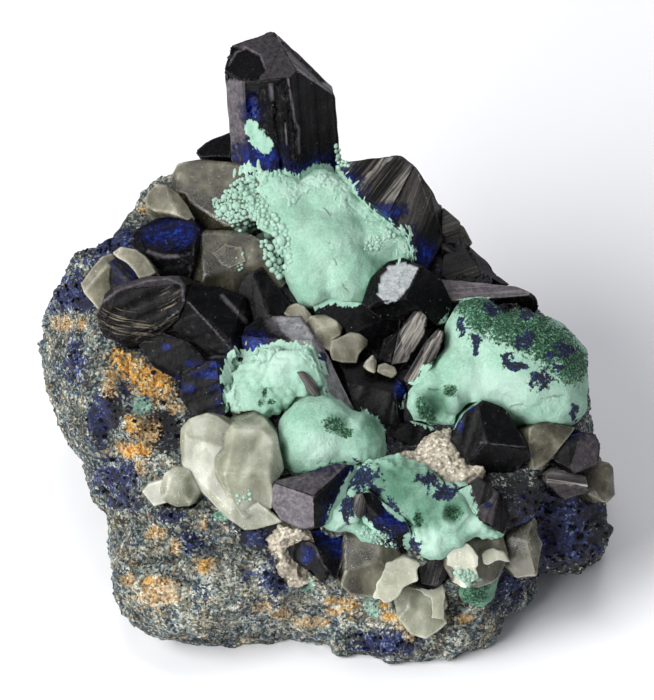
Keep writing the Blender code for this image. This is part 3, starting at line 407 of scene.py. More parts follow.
def make_calcite_material(name, tones, clearest, cloudiest):
    """Calcite: cloudy crystals with shiny faces. They look grey-beige, partly see-through and veiled."""
    material, add, shader = new_material(name)
    place = in_mm(add)
    fibres = add("Mapping", place, Rotation=(0.5, 0.2, 0.0), Scale=(0.9, 0.9, 0.3))
    veils = add("TexNoise", fibres, Scale=0.34, Detail=5.0, Roughness=0.55, Distortion=0.3)
    dust = add("MapRange", add("TexVoronoi", place, Scale=0.7, Randomness=1.0), 0.035, 0.06, 0.8, 0.0)
    # painted highlight: pale rims along the edges, as if they caught the lamps; the flakes are pale all over,
    # their own colour
    edge = add("MapRange", add("Attribute", attribute_name="edge", out=2), 0.0, 1.0, 0.0, 0.2)
    frost = add("TexNoise", place, Scale=1.6, Detail=7.0, Roughness=0.75)
    speck = add("MapRange", frost, 0.3, 0.7, 0.93, 1.06)
    base = painted(add, add("ValToRGB", veils, ramp=dict(zip((0.35, 0.48, 0.58, 0.7), tones))), [
        (dust, "#d6e6d8"), (edge, "#e6e4d6"), (1.0, speck, "MULTIPLY")])
    clear = add("MapRange", veils, 0.4, 0.62, clearest, cloudiest)
    clear = add("MapRange", add("Math", clear, edge, operation="SUBTRACT"))
    fill(shader, {
        "Base Color": base, "Transmission Weight": clear, "IOR": 1.58,
        "Roughness": add("MapRange", frost, 0.35, 0.65, 0.08, 0.3),
        "Normal": add("Bump", Strength=0.35, Distance=0.0002, Height=frost),
        "Subsurface Weight": 0.6, "Subsurface Scale": 0.0015, "Subsurface Radius": (1.0, 1.0, 0.9)})
    return material


def make_crust_material():
    """Calcite crust: a rind of tiny broken crystals. It looks cream and rough."""
    material, add, shader = new_material("calcite_crust")
    place = in_mm(add)
    chance = add("SeparateColor", add("TexVoronoi", place, Scale=3.2, out=1))
    base = add("ValToRGB", chance, ramp={0.0: "#7a7264", 0.3: "#9a9180", 0.7: "#b6ad9a", 1.0: "#dcd5c4"})
    relief = add("TexNoise", place, Scale=2.5, Detail=4.0)
    fill(shader, {
        "Base Color": base,
        "Normal": add("Bump", Strength=0.6, Distance=0.0003, Height=relief), "Roughness": 0.5, "IOR": 1.6,
        "Subsurface Weight": 0.2, "Subsurface Scale": 0.0006, "Subsurface Radius": (1.0, 1.0, 0.9)})
    return material


def make_azurite_material():
    """Azurite: deep glassy crystals. They look near-black with fine lines, and blue near the malachite."""
    material, add, shader = new_material("azurite_crystal")
    place = in_mm(add)
    lines = add("UVMap", uv_map="grain")
    # dull carries the painted sheen (a painted reflection) of chosen faces and painted highlights along
    # edges; silver a painted reflection, and on the coated crystal its coating painted paler
    dull, streaked, lined, reflection_and_coating, blue, film = [
        add("Attribute", attribute_name=mark, out=2)
        for mark in ("dull", "streaked", "lined", "reflection_and_coating", "blue", "film")]
    bent = add("TexNoise", place, Scale=0.12, Detail=2.0, out=1)
    bent = add("Mix", named={0: 0.7, 4: lines, 5: bent}, data_type="VECTOR", out=1)
    wide = add("Mapping", lines, Scale=(0.42, 0.05, 1.0))
    narrow = add("Mapping", lines, Scale=(2.3, 0.07, 1.0))
    fingers = add("Mapping", lines, Scale=(1.9, 0.35, 1.0))
    bands = add("TexNoise", wide, Scale=1.0, Detail=2.0)
    streaks = add("TexNoise", narrow, Scale=1.0, Detail=7.0, Roughness=0.8)
    streaks = total(add, streaks, add("MapRange", bands, 0.36, 0.64, -0.12, 0.1))
    hairs = add("Mapping", bent, Scale=(16.0, 0.8, 1.0))
    hairs = add("TexNoise", hairs, Scale=1.0, Detail=5.0, Roughness=0.7)
    fine = add("TexNoise", place, Scale=1.6, Detail=7.0, Roughness=0.8)
    deep = add("ValToRGB", fine, ramp={0.36: "#010102", 0.54: "#060608", 0.64: "#171613", 0.74: "#504c40"})
    # the sheen colours, even and streaky: painted reflection
    even = add("ValToRGB", fine, ramp={0.34: "#423e44", 0.5: "#625d62", 0.62: "#7c7678", 0.72: "#a8a29c"})
    streaky = add("ValToRGB", streaks, ramp={
        0.38: "#0a0a09", 0.45: "#262523", 0.52: "#53504c", 0.6: "#85817a", 0.7: "#b9b5ac"})
    sheen = painted(add, even, [(streaked, streaky)])
    hair = add("MapRange", add("Math", hairs, 0.5, operation="SUBTRACT"), 0.06, 0.12, 0.0, 0.6)
    hair = add("Math", hair, lined, operation="MULTIPLY")
    # the colours of the painted reflection and of the coated crystal's coating
    reflection_and_coating_tones = add("ValToRGB", fine, ramp={0.3: "#5d6264", 0.45: "#8e9394", 0.6: "#b0b4b2", 0.75: "#d6d8d4"})
    ragged = add("TexNoise", place, Scale=0.9, Detail=7.0, Roughness=0.8)
    blue = total(add, blue, add("MapRange", ragged, 0.28, 0.72, -0.9, 0.9))
    blue = add("MapRange", blue, 0.0, 1.2)
    blue_glow = add("Math", blue, add("MapRange", fine, 0.42, 0.64, 0.38, 1.0), operation="MULTIPLY")
    blue_glow = add("ValToRGB", blue_glow, ramp={
        0.0: "#030412", 0.3: "#070b2e", 0.6: "#0f1f64", 0.85: "#1b43a4", 1.0: "#3a6cc4"})
    # pale specks of dust, which also serve as painted glints on the dark faces
    dust = add("MapRange", add("TexVoronoi", place, Scale=0.8, Randomness=1.0), 0.03, 0.055, 0.7, 0.0)
    frill = add("TexNoise", place, Scale=1.7, Detail=5.0, Roughness=0.75)
    fingers = add("TexNoise", fingers, Scale=1.0, Detail=4.0, Roughness=0.7)
    frill = add("Math", total(add, frill, fingers), 0.5, operation="MULTIPLY")
    film = add("MapRange", total(add, film, add("MapRange", frill, 0.32, 0.68, -0.8, 0.8)), 0.0, 0.08)
    film_paint = add("ValToRGB", frill, ramp={0.35: "#76a38d", 0.5: "#96bca8", 0.65: "#abc8b7"})
    base = painted(add, deep, [
        (dull, sheen), (hair, "#978a76"), (reflection_and_coating, reflection_and_coating_tones),
        (add("MapRange", blue, 0.0, 0.5, 0.0, 0.92), blue_glow), (dust, "#b4b09e"), (film, film_paint)])
    rough = add("MapRange", fine, 0.35, 0.7, 0.14, 0.4)
    rough = total(add, rough, add("MapRange", dull, 0.0, 1.0, 0.0, 0.25))
    rough = add("Mix", named={0: film, 2: rough, 3: 0.75}, data_type="FLOAT")
    relief = total(
        add, add("Math", film, 0.8, operation="MULTIPLY"),
        add("Math", streaks, add("MapRange", streaked, 0.0, 1.0, 0.15, 1.0), operation="MULTIPLY"),
        add("Math", fine, 0.5, operation="MULTIPLY"))
    fill(shader, {
        "Base Color": base, "Roughness": rough, "IOR": 1.76, "Specular IOR Level": 0.07,
        "Normal": add("Bump", Strength=0.55, Distance=0.0003, Height=relief)})
    return material


# Ore

ORE_SPOTS = {
    "rust": [(-22.8, -4.2, 2, 1.5), (-20.8, -5.6, 1.7, 1.4), (-18.9, -6.9, 1.1, 0.9), (-22.6, -9.7, 1.6, 1.9),
        (-24.4, -12.2, 2.4, 1), (-23.4, -14.3, 0.6, 0.8), (-33.4, 3.6, 1.5, 0.9), (-30.9, 3.8, 0.7, 0.9),
        (-27.2, -3.2, 1, 2.2), (-22.9, 18.2, 0.9, 0.8), (-21.4, -22.4, 1.2, 0.9), (-18.9, -24.1, 0.7, 1),
        (-15.4, -26.5, 1.2, 1), (-21, -29.8, 2.4, 1.9), (-24.9, -28.4, 0.9, 0.8), (-8.2, -31.7, 1.2, 0.6),
        (-6, -32.7, 1.4, 0.7), (0.4, -31, 1.1, 0.6), (0.7, -32.7, 1.3, 0.5), (7.1, -31.7, 0.7, 0.5),
        (8.3, -33.4, 1.2, 0.7), (17.2, -33.4, 1.2, 0.6), (-15.4, -21.5, 0.5, 0.6), (-2, -33.8, 2.2, 0.6),
        (2.3, -31.9, 1.6, 1.3), (6.5, -31.6, 0.8, 0.6), (7.6, -32.8, 1, 0.6), (9, -34, 1, 0.7),
        (10.2, -35.4, 0.8, 0.9)],
    "orange": [(-26.2, -0.1, 0.9, 0.7), (-24.8, -1.3, 2, 1.3), (-23, -2.6, 2.2, 1.4), (-21.4, -3.8, 1.7, 1.3),
        (-24.4, -9, 1, 1.2), (-24.2, -12.2, 1.7, 0.8), (-22.8, -5, 0.8, 0.6), (2.4, -31.8, 0.9, 0.6),
        (8.4, -33.2, 1.2, 0.6), (-15.4, -26.6, 0.6, 0.8), (0.5, -31.1, 0.7, 0.4), (-22.6, -28.4, 0.8, 0.5),
        (7.1, -31.6, 0.5, 0.4)],
    "copper_blue": [(-26.5, -15.6, 3, 2.4), (-31.8, -1, 1.4, 3), (-28.6, -8.5, 1.4, 3),
        (-17, -23.8, 1.6, 1.2), (-10.1, -27.7, 0.7, 0.7), (7.2, -36.4, 4.4, 1.8), (28.5, -22.5, 4.5, 4),
        (31.5, -17.5, 3.4, 3), (-32, 7.5, 3.6, 2.6), (-6.5, -28.1, 2, 2), (22, -28, 3, 4),
        (-25.2, -4.4, 0.8, 1.4), (-25.4, -18.8, 2, 1), (-27.5, 13, 3, 3), (-8.4, -23.2, 1.9, 1.3),
        (-19.5, -20.4, 1.6, 0.8)],
    # the druse spots: near-black azurite druse, and painted shade darkening the ore in the gaps between the
    # crystals
    "druse_and_shade": [(-2, 2, 22, 15), (14, -8, 16, 10), (16.5, 10, 9, 8), (-7.5, -22.5, 4, 2.8),
        (28, -21.5, 10, 7.5), (-31.5, 7, 3, 2), (-26.5, 14, 2.6, 2.6), (-28.6, -8.5, 1.6, 3),
        (-20.8, -9.6, 2.6, 3), (-27, -7, 1.4, 2.8)],
    "mint": [(-23.2, -6.7, 1.2, 1.1), (-13.2, -20.3, 1.2, 0.6), (-2.8, -29, 1, 0.9), (5.5, -31.6, 0.8, 1.2)],
    # painted lighting: the lower front of the ore, made paler
    "painted_front_light": [(-11, -31, 15, 6), (6, -33, 8, 4)],
}


def ore_marks(bm, heights):
    marks = {"height": heights, **spot_marks(bm, ORE_SPOTS)}
    marks["druse_and_shade"] = [2 * strength for strength in marks["druse_and_shade"]]
    return marks


def make_ore(material):
    bm = reskinned(grown(solid_copy("ore_matrix"), ORE_GROWTH), ORE_VOXEL, 3)
    heights = roughened(bm, ORE_LUMPS, 3.1)
    for vert in bm.verts:
        vert.co.z = max(vert.co.z, 0.0)
    marks = ore_marks(bm, heights)
    return finish_piece("ore_matrix_skin", bm, ["ore_matrix"], "ore", material, marks)


def add_grain(bm, place, way, radius, rng):
    """A blunt grain, half sunk in the surface and turned at random."""
    turn = Euler([rng.uniform(0, math.tau) for _ in range(3)]).to_matrix().to_4x4()
    shape = Matrix.Diagonal((radius, radius * rng.uniform(0.6, 1.0), radius * rng.uniform(0.5, 0.9), 1))
    middle = Matrix.Translation(place - way * radius * 0.2 * MM)
    bmesh.ops.create_icosphere(bm, subdivisions=1, radius=MM, matrix=middle @ turn @ shape)


def make_ore_grains(material, ore):
    """The coarser grains of the ore, standing out of its skin all round, and larger ones over the stains."""
    rng = random.Random(12)
    low, high = ORE_GRAIN_RADIUS
    places, stained = [], []
    for place, way in scattered_on(ore.data, 8 * ORE_GRAINS, rng):
        radius = low + (high - low) * rng.random() ** 2
        spot = on_display(place)
        if place.z < 1.2 * radius * MM or spot_strength(spot, ORE_SPOTS["druse_and_shade"]) > 0.1:
            continue
        if len(places) < ORE_GRAINS:
            places.append((place, way, radius, rng))
        elif spot_strength(spot, ORE_SPOTS["rust"] + ORE_SPOTS["orange"]) > rng.uniform(-0.6, 0.8):
            stained.append((place, way, rng.uniform(*RUST_GRAIN_RADIUS), rng))
    bm = piled(places + stained[:RUST_GRAINS], add_grain)
    marks = ore_marks(bm, [0.1] * len(bm.verts))
    return finish_piece("ore_grains", bm, [], "ore", material, marks, smooth=False)


def add_block(bm, place, way, size, rng):
    """A little blocky crystal that sticks out of the surface at random."""
    turn = way.to_track_quat("Z", "Y").to_matrix().to_4x4()
    turn = turn @ Euler([rng.gauss(0, 0.6), rng.gauss(0, 0.6), rng.uniform(0, math.tau)]).to_matrix().to_4x4()
    shape = Matrix.Diagonal((size * rng.uniform(0.4, 0.8), size * rng.uniform(0.6, 1.0), size, 1))
    bmesh.ops.create_cube(bm, size=MM, matrix=Matrix.Translation(place) @ turn @ shape)


def make_druse(material, ore):
    """Little azurite crystals over the ore's dark and blue places, thickest in the middle of each."""
    rng = random.Random(21)
    places = []
    for place, way in scattered_on(ore.data, DRUSE_TRIES, rng):
        spot = on_display(place)
        strength = spot_strength(spot, ORE_SPOTS["druse_and_shade"] + ORE_SPOTS["copper_blue"])
        if way.dot(TO_VIEWER) > 0 and strength + noise.noise(spot * 0.8) > rng.uniform(-0.2, 1.2):
            places.append((place, way, rng.uniform(*DRUSE_SIZE), rng))
    bm = piled(places, add_block)
    lay_grain(bm, PLAIN_FINISH["lines"])
    marks = {"blue": [noise.noise(v.co * 350) * 2.0 - 0.3 for v in bm.verts], "film": [-3.0] * len(bm.verts)}
    return finish_piece("azurite_druse", bm, [], "azurite", material, marks, smooth=False)


# Malachite

MALACHITE_SPOTS = {
    # deep: partly the malachite's own darker green, partly painted shade and painted shadow on the shaded
    # sides of the balls
    "deep": [(1, -9, 1.9, 1.7), (0.6, -9.2, 1.2, 1), (5.4, -9.4, 1.6, 2.6), (8.5, -15.6, 4.8, 2.6),
        (12, -19.4, 3.4, 3), (13.2, -6.6, 2.6, 2.6), (18.6, -29.6, 4, 4), (8.6, -17, 3.8, 3.2),
        (4, -20, 2.4, 2.4), (-5.6, -12.6, 0.8, 2.4), (15.4, -19.4, 2.4, 2.2)],
    "dark_green": [(17.2, 6.1, 1.6, 1.4), (19.2, 4.6, 2.2, 2.6), (22.1, 4, 3, 2.8), (25.2, 2.4, 3.2, 2.8),
        (28, 0.6, 3, 2.6), (30.4, -1.6, 2.2, 2.4), (15.6, -19.9, 1, 1), (11.2, -20.8, 0.6, 1.2),
        (12.1, -7.5, 0.9, 0.9), (15.2, -4.8, 0.9, 0.7), (18.2, -30.4, 1.6, 1.2), (19.6, -29, 0.7, 0.7),
        (-7.8, -5, 0.4, 0.6), (-7, -6.2, 0.5, 0.4), (-8.4, -6.4, 0.3, 0.5), (0.7, -9, 1.3, 1),
        (2.2, -10, 0.9, 0.7), (11.6, -6.6, 0.6, 1), (13, -8.6, 0.8, 0.5)],
    "navy": [(24.5, 1.5, 1.2, 1.1), (29.6, 0.3, 1.4, 1), (20.9, 5.5, 1.4, 0.9), (16.6, 3.2, 0.5, 1.3),
        (18.3, 1.5, 0.7, 0.7), (18.4, 0.2, 0.3, 1), (22.2, -0.8, 0.7, 0.8), (23.2, -1.8, 1.3, 0.5),
        (26.3, -3.6, 1.4, 1.1), (28.4, -2, 0.9, 0.5), (30.7, -7.4, 0.6, 1.1), (24.8, 4.6, 0.8, 0.6),
        (27.4, -0.4, 0.6, 0.6), (4, -15.8, 2.4, 2), (4.8, -18.2, 2, 2), (6.6, -20.2, 2, 1.8),
        (8.4, -22.2, 1.8, 1.7), (10, -24.2, 1.4, 1.4), (12.2, -15.9, 1.3, 1), (14.4, -17.2, 1.7, 1.1),
        (1.4, -14.6, 2, 0.9), (2.4, -19.4, 0.8, 1.6)],
    "pale": [(5.3, 13.8, 1.3, 1.1), (8.1, 15.2, 1, 0.8), (20.5, -4.5, 6.5, 3.2), (-0.6, -12.5, 3, 3.4),
        (12.6, -23.6, 2.4, 2), (2, -20.4, 2, 2), (18.8, -21, 2.6, 1.4), (-7, -1, 5.5, 3.6)],
}
# Small cups: place, radius and height of the raised rim in mm. A rim below 0 is a crease round a ball.
CUPS = [
    (15.6, -19.9, 1.5, 0.55), (12, -7.2, 0.8, 0.3), (15.2, -4.9, 0.9, 0.3), (11.4, -20.6, 0.9, 0.3),
    (11.9, -6.9, 1.8, -0.6), (15.7, -6.3, 2.1, -0.6), (-7.9, -6, 1.2, 0.4), (-7, -7.6, 0.9, 0.3),
    (18.2, -28.6, 1, 0.3)]
LOBED = {"malachite_frilled_crust": 2.6, "malachite_front_crust": 2.2, "malachite_green_ball": 1.4,
         "malachite_main_mass": 0.45, "malachite_right_dome": 0.7}
# What the beads leave bare of the main mass: an outline in (across, up).
BEAD_BAY = [
    (-13, 22.5), (-10.6, 19.8), (-9.2, 16.6), (-7.6, 13.6), (-6, 11.2), (-6.4, 7.8), (-15, 7.8), (-18, 20)]


def prism(outline, near, far, lean=(0, 0)):
    """A closed prism with that outline at its first depth, leaning so far across and up for each mm out."""
    bm = bmesh.new()
    face = bm.faces.new([bm.verts.new(TO_WORLD @ Vector((a, b, near))) for a, b in outline])
    pushed = bmesh.ops.extrude_face_region(bm, geom=[face])["geom"]
    way = TO_WORLD.to_3x3() @ (Vector((*lean, 1)) * (far - near))
    bmesh.ops.translate(bm, vec=way, verts=[g for g in pushed if isinstance(g, bmesh.types.BMVert)])
    bmesh.ops.recalc_face_normals(bm, faces=bm.faces)
    return bm


def malachite_marks(bm, heights=None):
    return {"height": heights or [0.0] * len(bm.verts), **spot_marks(bm, MALACHITE_SPOTS)}


def lobed(bm, strength):
    """Raises small rounded lobes with creases between them, in the rougher places most, and the cups."""

    def height_at(vert):
        place = vert.co / MM
        rough = min(1.0, max(0.0, 0.35 + 2.2 * noise.noise(place / 5.0 + Vector((4.0, 1.0, 9.0)))))
        distance = noise.voronoi(place / LOBE)[0][0]
        height = strength * (rough + 0.5 * (strength > 1)) * LOBE_HEIGHT * (0.35 - distance)
        if strength > 1:
            height += 0.5 * (0.45 - noise.voronoi(place / (2.4 * LOBE))[0][0])
        spot = on_display(vert.co).to_2d()
        for across, up, radius, tall in CUPS:
            reach = (spot - Vector((across, up))).length / radius
            if reach < 1.8:
                rim, middle = math.exp(-((reach - 1.0) / 0.35) ** 2), math.exp(-((reach / 0.6) ** 2))
                height += tall * (rim - 1.3 * middle)
        return height

    raised(bm, height_at)


def make_malachite(material):
    made = []
    for node in sorted(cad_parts):
        if not node.startswith("malachite"):
            continue
        bm = grown(solid_copy(node), FRILLED_GROWTH if node == "malachite_frilled_crust" else CRUST_GROWTH)
        if node == "malachite_main_mass":
            bm = cut_by(reskinned(bm, MALACHITE_VOXEL, 0), prism(BEAD_BAY, 20.0, -40.0))
        bm = reskinned(bm, MALACHITE_VOXEL, 14)
        lobed(bm, LOBED.get(node, 1.0))
        heights = roughened(bm, MALACHITE_SWELLS, 8.3)
        marks = malachite_marks(bm, heights)
        made.append(finish_piece(node + "_skin", bm, [node], "malachite", material, marks))
    return made


def make_tufts(material, malachite):
    """Fuzzy grains over the dark green places."""
    rng = random.Random(5)
    dome = next(piece for piece in malachite if piece.name.startswith("malachite_right_dome"))
    places = []
    for place, way in scattered_on(dome.data, TUFT_TRIES, rng):
        spot = on_display(place)
        strength = spot_strength(spot, MALACHITE_SPOTS["dark_green"])
        if strength + 1.4 * noise.noise(spot * 1.1) > rng.uniform(-0.1, 0.7):
            places.append((place, way, rng.uniform(*TUFT_RADIUS), rng))
    bm = piled(places, add_grain)
    marks = malachite_marks(bm)
    marks["dark_green"] = [max(0.7, strength) for strength in marks["dark_green"]]
    return finish_piece("malachite_tufts", bm, [], "malachite", material, marks)


# Beads and frills of malachite that grew over the crystals. A frill follows a path in (across, up). Its
# fingers are spread that far from it, and are longest along the way they lean.
BEAD_FIELDS = [
    dict(outline=[(-13.6, 19.6), (-11.6, 21.6), (-9.6, 22.4), (-7.8, 19.4), (-7.4, 16.2), (-11, 15),
        (-13.6, 17.2)], beads=170, radius=(0.2, 0.62)),
    dict(outline=[(-9, 17), (-7, 17.6), (-5, 15.2), (-4.6, 11.4), (-6, 9), (-7.8, 11.4), (-8.6, 14)],
        beads=120, radius=(0.26, 0.74)),
    dict(outline=[(-14.6, 19), (-12.6, 20.2), (-11.4, 16), (-14, 16.8)], beads=26, radius=(0.12, 0.34)),
    dict(outline=[(-12, 11.6), (-10.6, 12.6), (-9.6, 10.6), (-11, 10)], beads=7, radius=(0.12, 0.26)),
    dict(outline=[(-12.4, -17.4), (-9.8, -17), (-9.4, -18.8), (-12, -19)], beads=12, radius=(0.1, 0.3)),
    dict(outline=[(3.6, -21.6), (8.4, -21.6), (8.6, -24.4), (6.4, -24)], beads=40, radius=(0.1, 0.3)),
    dict(outline=[(5.4, 14.6), (6.6, 14.6), (6.6, 12.8), (4.2, 12.8)], beads=22, radius=(0.16, 0.34)),
    dict(outline=[(7.4, 15.8), (8.8, 15.2), (8.6, 14.2), (7.2, 14.6)], beads=12, radius=(0.16, 0.34)),
    dict(outline=[(0.9, 26.4), (2.1, 25.4), (2.6, 23.4), (1.2, 23.2)], beads=14, radius=(0.25, 0.55)),
    dict(outline=[(15.6, -27.4), (17.4, -27), (19, -28.2), (17.6, -29.2)], beads=30, radius=(0.2, 0.55)),
    dict(outline=[(3, -22), (8.4, -22.2), (8.6, -24.4), (5, -23.6)], beads=30, radius=(0.12, 0.42)),
]
FRILLS = [
    dict(path=[(-10.9, 22.6), (-9.4, 23.2), (-7.6, 21.6), (-5.4, 20.4), (-4.2, 19.6), (-2.8, 21.2),
        (-0.4, 21.6), (1.6, 21.6)], fingers=230, spread=0.42, radius=(0.14, 0.3), lean=(-0.1, 1)),
    dict(path=[(1.6, 21.4), (2.2, 19.2), (4.2, 18.4), (5.8, 17), (7.2, 15.6), (9.2, 14.8), (10.2, 12.6),
        (10.2, 11.6)], fingers=260, spread=0.55, radius=(0.13, 0.28), lean=(0.7, 0.6)),
    dict(path=[(-12.9, -3.2), (-12.2, -1.2), (-11, -0.4), (-9.4, -0.5), (-8.2, -0.6), (-6.6, 0.6), (-5, 0.8),
        (-3.2, 0.3), (-1.6, -0.9), (-0.8, -2.6)], fingers=260, spread=0.35, radius=(0.14, 0.3),
        lean=(0.1, 1)),
    dict(path=[(-12.6, -3), (-12.3, -5.6), (-11.2, -7.4)], fingers=60, spread=0.3, radius=(0.16, 0.34),
        lean=(-1, 0)),
]


def spread_along(path, rng):
    """A random place on the path, in (across, up)."""
    legs = [(Vector(a), Vector(b)) for a, b in zip(path, path[1:])]
    lengths = [(b - a).length for a, b in legs]
    pick = rng.uniform(0, sum(lengths))
    for (a, b), length in zip(legs, lengths):
        if pick <= length:
            return a.lerp(b, pick / length)
        pick -= length
    return legs[-1][1]


def inside(spot, outline):
    """Whether the place lies inside the outline, by counting the edges that it crosses."""
    hit = False
    for (a0, b0), (a1, b1) in zip(outline, outline[1:] + outline[:1]):
        if (b0 > spot.y) != (b1 > spot.y) and spot.x < a0 + (spot.y - b0) / (b1 - b0) * (a1 - a0):
            hit = not hit
    return hit


def dropped(tree, spot):
    """Where a ray from the viewer through that place meets the pieces, and the way the surface faces."""
    start = TO_WORLD @ Vector((spot.x, spot.y, ABOVE_ALL))
    place, way, _, _ = tree.ray_cast(start, -TO_VIEWER)
    return place, way


def add_ball(bm, place, way, sizes, smoothness=1, lean=None):
    """A squashed ball whose third size points out of the surface."""
    turn = way.to_track_quat("Z", "Y").to_matrix().to_4x4()
    if lean is not None:
        flat = lean - way * lean.dot(way)
        if flat.length > 0.1:
            flat.normalize()
            side = flat.cross(way)
            turn = Matrix((side, flat, way)).transposed().to_4x4()
    bmesh.ops.create_icosphere(
        bm, subdivisions=smoothness, radius=MM,
        matrix=Matrix.Translation(place) @ turn @ Matrix.Diagonal((*sizes, 1)))


def make_beads(material, tree):
    rng = random.Random(4)
    bm = bmesh.new()
    taken = []
    for field in BEAD_FIELDS:
        low = Vector(map(min, zip(*field["outline"])))
        high = Vector(map(max, zip(*field["outline"])))
        placed, tries = 0, 0
        while placed < field["beads"] and tries < BEAD_TRIES:
            tries += 1
            spot = Vector((rng.uniform(low.x, high.x), rng.uniform(low.y, high.y)))
            radius = field["radius"][0] + (field["radius"][1] - field["radius"][0]) * rng.random() ** 1.6
            if not inside(spot, field["outline"]):
                continue
            if any((spot - other).length < BEAD_SPACING * (radius + reach) for other, reach in taken):
                continue
            place, way = dropped(tree, spot)
            if place is None:
                continue
            taken.append((spot, radius))
            sizes = (radius, radius * rng.uniform(0.85, 1.15), radius * rng.uniform(0.7, 1.0))
            add_ball(bm, place + way * radius * 0.15 * MM, way, sizes, smoothness=2)
            placed += 1
    marks = malachite_marks(bm)
    marks["pale"] = [0.6] * len(bm.verts)
    marks["dark_green"] = [-3.0] * len(bm.verts)
    return finish_piece("malachite_beads", bm, [], "malachite", material, marks)


def make_frills(material, tree):
    """Short flat fingers along the rim where the malachite spreads over a crystal."""
    rng = random.Random(9)
    bm = bmesh.new()
    for frill in FRILLS:
        for _ in range(frill["fingers"]):
            spot = spread_along(frill["path"], rng)
            spot += Vector((rng.gauss(0, frill["spread"]), rng.gauss(0, frill["spread"])))
            place, way = dropped(tree, spot)
            if place is None:
                continue
            lean = Vector((*frill["lean"], 0)) + Vector((rng.gauss(0, 0.35), rng.gauss(0, 0.35), 0))
            radius = rng.uniform(*frill["radius"])
            stretch = rng.uniform(1.2, 3.2)
            add_ball(bm, place, way, (radius, radius * stretch, radius * 0.7), lean=TO_WORLD.to_3x3() @ lean)
    bm = reskinned(bm, 0.11, 1)
    marks = malachite_marks(bm, roughened(bm, ((0.5, 0.06),), 1.7))
    marks["pale"] = [0.5] * len(bm.verts)
    return finish_piece("malachite_frills", bm, [], "malachite", material, marks)


# Calcite


